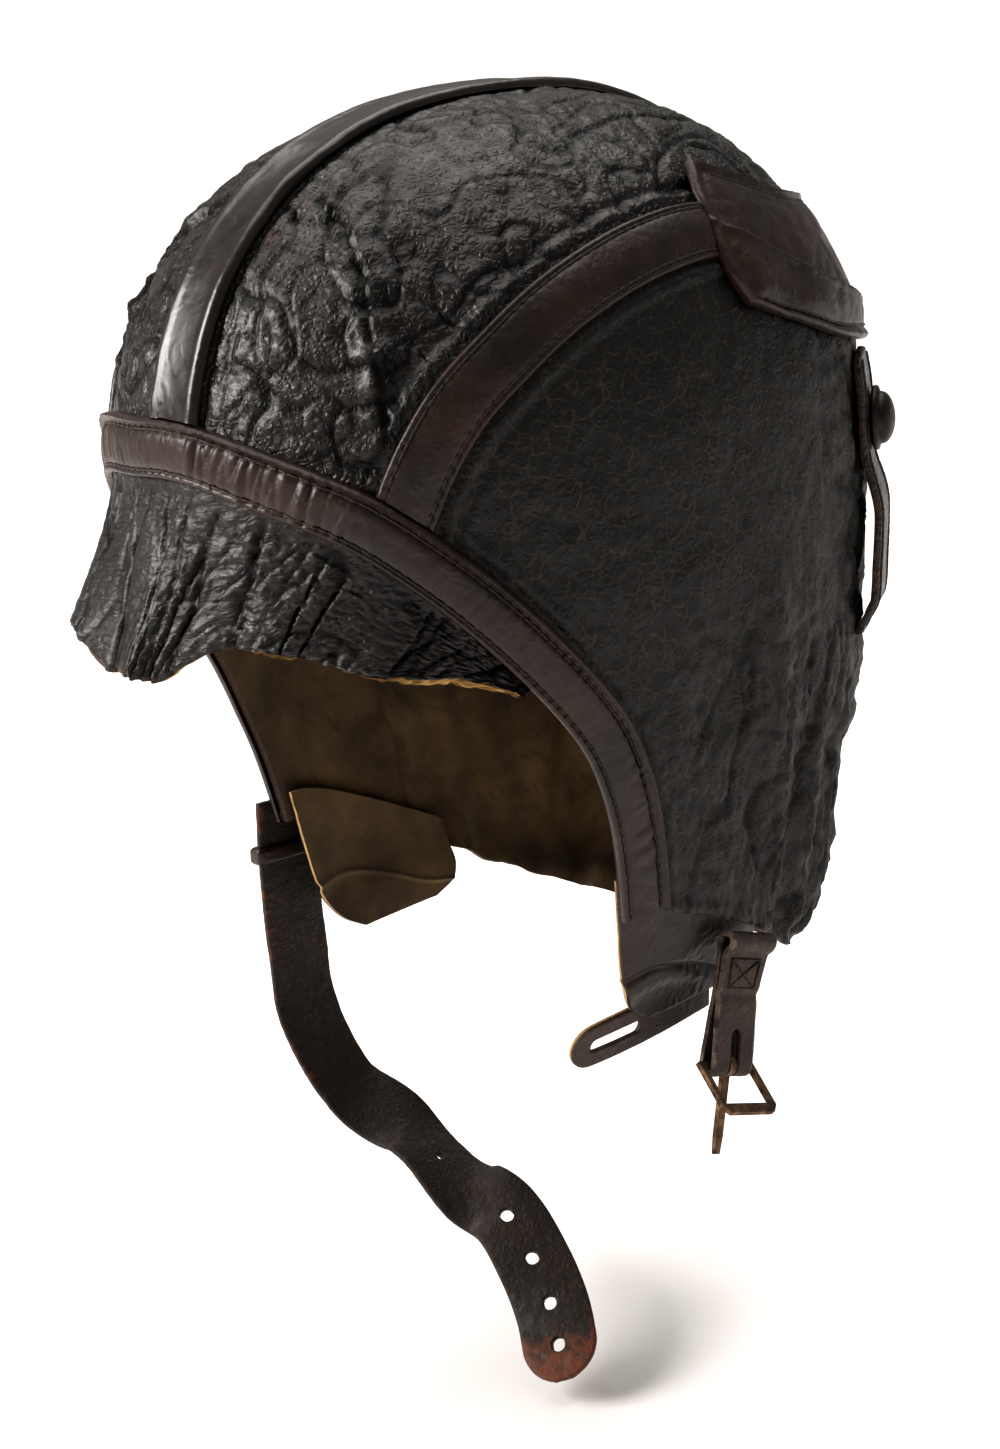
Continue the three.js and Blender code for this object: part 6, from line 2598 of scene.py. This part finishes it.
@dataclass
class ChinStrap(SubAssembly):
    """Punched strap on the right, with its keeper loop and its rivet.

    Attributes:
        back: Place of its upper end behind the widest plane, in millimetres.
        top: Place of its upper end below the widest level.
        hole: Width of a punched hole.
        holes: Places of the holes, as shares of the length.
        lift: Height of its inner face over the wall at the top.
        front_face: Direction that its face has turned to where the route's turn is 1.
        keeper_place: Place of the keeper, as a share of the length.
        rivet_place: Place of the rivet, as a share of the length.
    """

    name: str = "chin strap"
    back: float = -27.5
    top: float = 99.0
    length: float = 207.0
    width: float = 21.0
    leather: float = 1.8
    hole: float = 3.6
    holes: tuple[float, ...] = (0.547, 0.705, 0.795, 0.885, 0.95)
    lift: float = BAND_LIFT + BAND + 2 * GAP
    front_face: tuple[float, float, float] = (0.45, -0.75, 0.5)
    keeper_place: float = 0.072
    keeper_height: float = 4.6
    keeper_leather: float = 1.5
    rivet_place: float = 0.025
    rivet_radius: float = 3.5
    rivet_height: float = 2.2

    def line(self) -> Line:
        """Finds the middle line of the strap.

        Returns:
            The line in millimetres.
        """
        seat = FORM.in_side_view(np.array([self.back]), np.array([self.top]))
        start = FORM.leather(seat, self.lift + self.leather / 2)[0] * [-1, 1, 1]
        route = np.stack([STRAP_ROUTE.column(name) for name in ("across", "back", "up")], axis=-1)
        return Line(start + route * self.length)

    def frame(self, line: Line, along: np.ndarray) -> tuple[np.ndarray, np.ndarray, np.ndarray]:
        """Finds how the strap lies at places along it.

        Args:
            line: Middle line of the strap.
            along: Shares of its length.

        Returns:
            Places, directions of the face and directions across the width.
        """
        turns = STRAP_ROUTE.column("turn")
        turn = np.interp(along * (len(turns) - 1), np.arange(len(turns)), turns)[..., None]
        after, before = np.minimum(along + 1e-3, 1), np.maximum(along - 1e-3, 0)
        tangent = unit(line.point(after) - line.point(before))
        face = np.array([1.0, 0, 0]) * (1 - turn) + np.array(self.front_face) * turn
        face = unit(face - np.sum(face * tangent, axis=-1, keepdims=True) * tangent)
        return line.point(along), face, unit(np.cross(tangent, face))

    def build(self) -> None:
        """Makes the strap with its holes, the keeper and the rivet."""
        line = self.line()
        u, v = stations(250, self.length), stations(26, self.width, (0.2, 0.5, 0.9))
        place, face, width = self.frame(line, u)
        from_end = (1 - u) * self.length
        fall = 1 - np.minimum(1, from_end / (self.width * 0.55))
        end = np.sqrt(np.maximum(0.06, 1 - fall**2))
        across = (v[None, :] - 0.5) * self.width * end[:, None]
        noise = Noise(101)
        flat = place[:, None] + width[:, None] * across[..., None]
        cup = 0.9 * (across / self.width * 2) ** 2 * smooth_step(0.3, 0.6, u)[:, None]
        fine = 0.5 * noise.at(flat, 14) + 0.2 * noise.puffs(flat, 4) - cup
        half = self.leather / 2 * rounded(u, v, (self.length, self.width), 0.8)
        over = flat + face[:, None] * (half + fine)[..., None]
        under = flat + face[:, None] * (fine - half)[..., None]
        wear = smooth_step(0.9, 1.0, u)[:, None] + 0.35 * hump(np.abs(across) - 10, 1.5)
        wear = np.clip(wear + 0.2 * hump(fine, 0.2), 0, 1)
        piece = sheet_object("chin_strap_hide", FORM.place(under), FORM.place(over), {"wear": wear})
        cutters = []
        for share in self.holes:
            seat, out, side = (part[0] for part in self.frame(line, np.array([share])))
            small = 0.55 if share == self.holes[0] else 1.0
            hole = oval(self.hole * small * 1.25, self.hole * small, 24)
            cutters.append(cutter_object(hole, seat, np.stack([np.cross(side, out), side, out]), 5))
        cut_with(piece, cutters)
        self.keep(piece, "suede", "chin_strap")
        self.build_keeper(line)
        self.build_rivet(line)

    def build_rivet(self, line: Line) -> None:
        """Makes the domed head of the rivet.

        Args:
            line: Middle line of the strap.
        """
        seat, out, _ = (part[0] for part in self.frame(line, np.array([self.rivet_place])))
        radius, height = self.rivet_radius, self.rivet_height
        profile = [(0.2, 0), (radius, 0), (radius, height * 0.25)]
        for turn in np.linspace(0.2, 1.5, 9):
            up = height * (0.25 + 0.75 * math.sin(turn))
            profile.append((radius * math.cos(turn), up))
        foot = seat - out * (self.leather / 2 + GAP)
        rivet = turned_object("strap_rivet_head", profile, foot, -out)
        self.keep(rivet, "black_metal", "strap_rivet")

    def build_keeper(self, line: Line) -> None:
        """Makes the loop round the strap.

        Args:
            line: Middle line of the strap.
        """
        seat, out, side = (part[0] for part in self.frame(line, np.array([self.keeper_place])))
        half = np.array([self.width / 2 + GAP, self.leather / 2 + GAP])
        turn = np.linspace(0, 2 * np.pi, 97)
        corner = np.sign(np.stack([np.cos(turn), np.sin(turn)], -1))
        ring = np.abs(np.stack([np.cos(turn), np.sin(turn)], -1)) ** 0.28 * corner
        along = np.linspace(-0.5, 0.5, 9) * self.keeper_height
        bulge = 1 - (2 * np.abs(along) / self.keeper_height) ** 6 * 0.35
        down = np.cross(side, out)
        grids = []
        for grow in (np.zeros(9), self.keeper_leather * bulge):
            size = half[None, None] + grow[None, :, None]
            flat = ring[:, None] * size
            around = seat + flat[..., :1] * side + flat[..., 1:] * out
            grids.append(around + along[None, :, None] * down)
        worn = {"wear": 0.4 * np.ones(grids[0].shape[:2])}
        keeper = sheet_object("strap_keeper_loop", FORM.place(grids[0]), FORM.place(grids[1]), worn)
        self.keep(keeper, "leather_brown", "strap_keeper")

    def dress(self, finishes: dict[str, bpy.types.Material]) -> None:
        """Gives the strap, keeper and rivet their finishes.

        Args:
            finishes: Every finish by its name.
        """
        for _ in Face:
            self.made[1].data.materials.append(finishes["polished_goatskin"])
        self.made[2].data.materials.append(finishes["japanned_brass"])
        self.cover(finishes, "strap_split", "strap_split", "strap_split")


# Colour of both lights and of the light from all sides
WHITE_LIGHT = 0xFFFCF8


class LampKind(Enum):
    """Kinds of light in the studio, by Blender's names."""

    AREA = "AREA"
    SUN = "SUN"


@dataclass(frozen=True)
class Lamp:
    """One soft light that looks at the helmet.

    Attributes:
        name: Name of the light.
        kind: Kind of light.
        place: Its place in metres.
        size: Width of an area in metres, or angle of a sun in degrees.
        power: Power of an area in watts, or strength of a sun.
    """

    name: str
    kind: LampKind
    place: tuple[float, float, float]
    size: float
    power: float

    def add(self) -> None:
        """Adds the light to the scene and turns it to the middle of the helmet."""
        light = bpy.data.lights.new(self.name, self.kind.value)
        if self.kind is LampKind.SUN:
            light.angle = math.radians(self.size)
        else:
            light.size = self.size
        light.energy = self.power
        light.color = linear(WHITE_LIGHT)[:3]
        lamp = bpy.data.objects.new(self.name, light)
        lamp.location = self.place
        aim = Vector((0, 0, -0.12)) - Vector(self.place)
        lamp.rotation_euler = aim.to_track_quat("-Z", "Y").to_euler()
        bpy.context.scene.collection.objects.link(lamp)


@dataclass
class Studio:
    """Pale floor, soft light and the camera at the photograph's angle."""

    camera_place: tuple[float, float, float] = (0.4758, -0.4425, 0.0372)
    camera_right: tuple[float, float, float] = (0.6909, 0.7174, -0.0895)
    camera_up: tuple[float, float, float] = (-0.1542, 0.2672, 0.9512)
    camera_back: tuple[float, float, float] = (0.7063, -0.6434, 0.2953)
    lens: float = 62.67
    floor_level: float = -0.342
    floor_size: float = 100.0
    world_strength: float = 0.25
    lamps: tuple[Lamp, ...] = (
        Lamp("window", LampKind.AREA, (-0.7, -1.1, 0.65), 0.75, 21),
        Lamp("ceiling", LampKind.SUN, (-0.25, 0.3, 1.2), 70, 2.0),
    )

    def add_floor(self) -> None:
        """Adds the floor of pale paper under the helmet."""
        size = self.floor_size
        corners = np.array([(-size, -size), (size, -size), (size, size), (-size, size)])
        points = np.concatenate([corners, np.full((4, 1), self.floor_level)], axis=1)
        floor = build_object("floor", points, [[0, 1, 2, 3]])
        material, shader, place = new_material("pale_paper")
        add = partial(add_node, material.node_tree)
        mottle = add("ShaderNodeTexNoise", {"Scale": 1 / 180, "Detail": 2.0}, {"Vector": place})
        colours = {"data_type": "RGBA", 6: linear(0xF4F1F0), 7: linear(0xF8F6F6)}
        tint = add("ShaderNodeMix", colours, {0: mottle.outputs[0]})
        material.node_tree.links.new(tint.outputs[2], shader.inputs["Base Color"])
        shader.inputs["Roughness"].default_value = 0.7
        floor.data.materials.append(material)

    def add_world(self) -> None:
        """Adds the light from all sides and sets how colours are shown."""
        world = bpy.data.worlds.new("studio")
        world.use_nodes = True
        background = next(node for node in world.node_tree.nodes if node.type == "BACKGROUND")
        background.inputs["Color"].default_value = linear(WHITE_LIGHT)
        background.inputs["Strength"].default_value = self.world_strength
        scene = bpy.context.scene
        scene.world = world
        scene.view_settings.view_transform = "Standard"
        scene.view_settings.look = "High Contrast"

    def add_camera(self) -> None:
        """Adds the camera at the photograph's angle."""
        camera = bpy.data.objects.new("camera", bpy.data.cameras.new("camera"))
        camera.data.lens = self.lens
        camera.data.clip_start = 0.02
        rows = (self.camera_right, self.camera_up, self.camera_back)
        turn = Matrix(rows).transposed().to_4x4()
        camera.matrix_world = Matrix.Translation(self.camera_place) @ turn
        bpy.context.scene.collection.objects.link(camera)
        bpy.context.scene.camera = camera

    def build(self) -> None:
        """Makes the floor, the world, the lights and the camera."""
        self.add_floor()
        self.add_world()
        for lamp in self.lamps:
            lamp.add()
        self.add_camera()


def make_finishes() -> dict[str, bpy.types.Material]:
    """Makes every finish of the helmet.

    Returns:
        The finishes by name.
    """
    hides = (CRACKED_HIDE, HANGING_HIDE, DULL_HIDE, SMOOTH_HIDE, BAND_HIDE)
    soft = (TAB_HIDE, CHAMOIS, FLESH, RAW_EDGE, STRAP_SPLIT, THREAD)
    return {finish.name: finish.make() for finish in (*hides, *soft, RUSTY_BRASS, BLACK_SNAP)}


def main() -> None:
    """Builds the scene."""
    logging.basicConfig(level=logging.INFO, format="%(message)s")
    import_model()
    Studio().build()
    finishes = make_finishes()
    assemblies = [
        Crown(), SidePanels(), Bands(), RearPatch(), BrowFlap(),
        GoggleStraps(), ChinFlaps(), SlottedTab(), Buckle(), ChinStrap(),
    ]
    for assembly in assemblies:
        assembly.build()
        assembly.dress(finishes)
        for piece in assembly.made:
            log.info("%s: %s, %d faces", assembly.name, piece.name, len(piece.data.polygons))


if __name__ == "__main__":
    main()
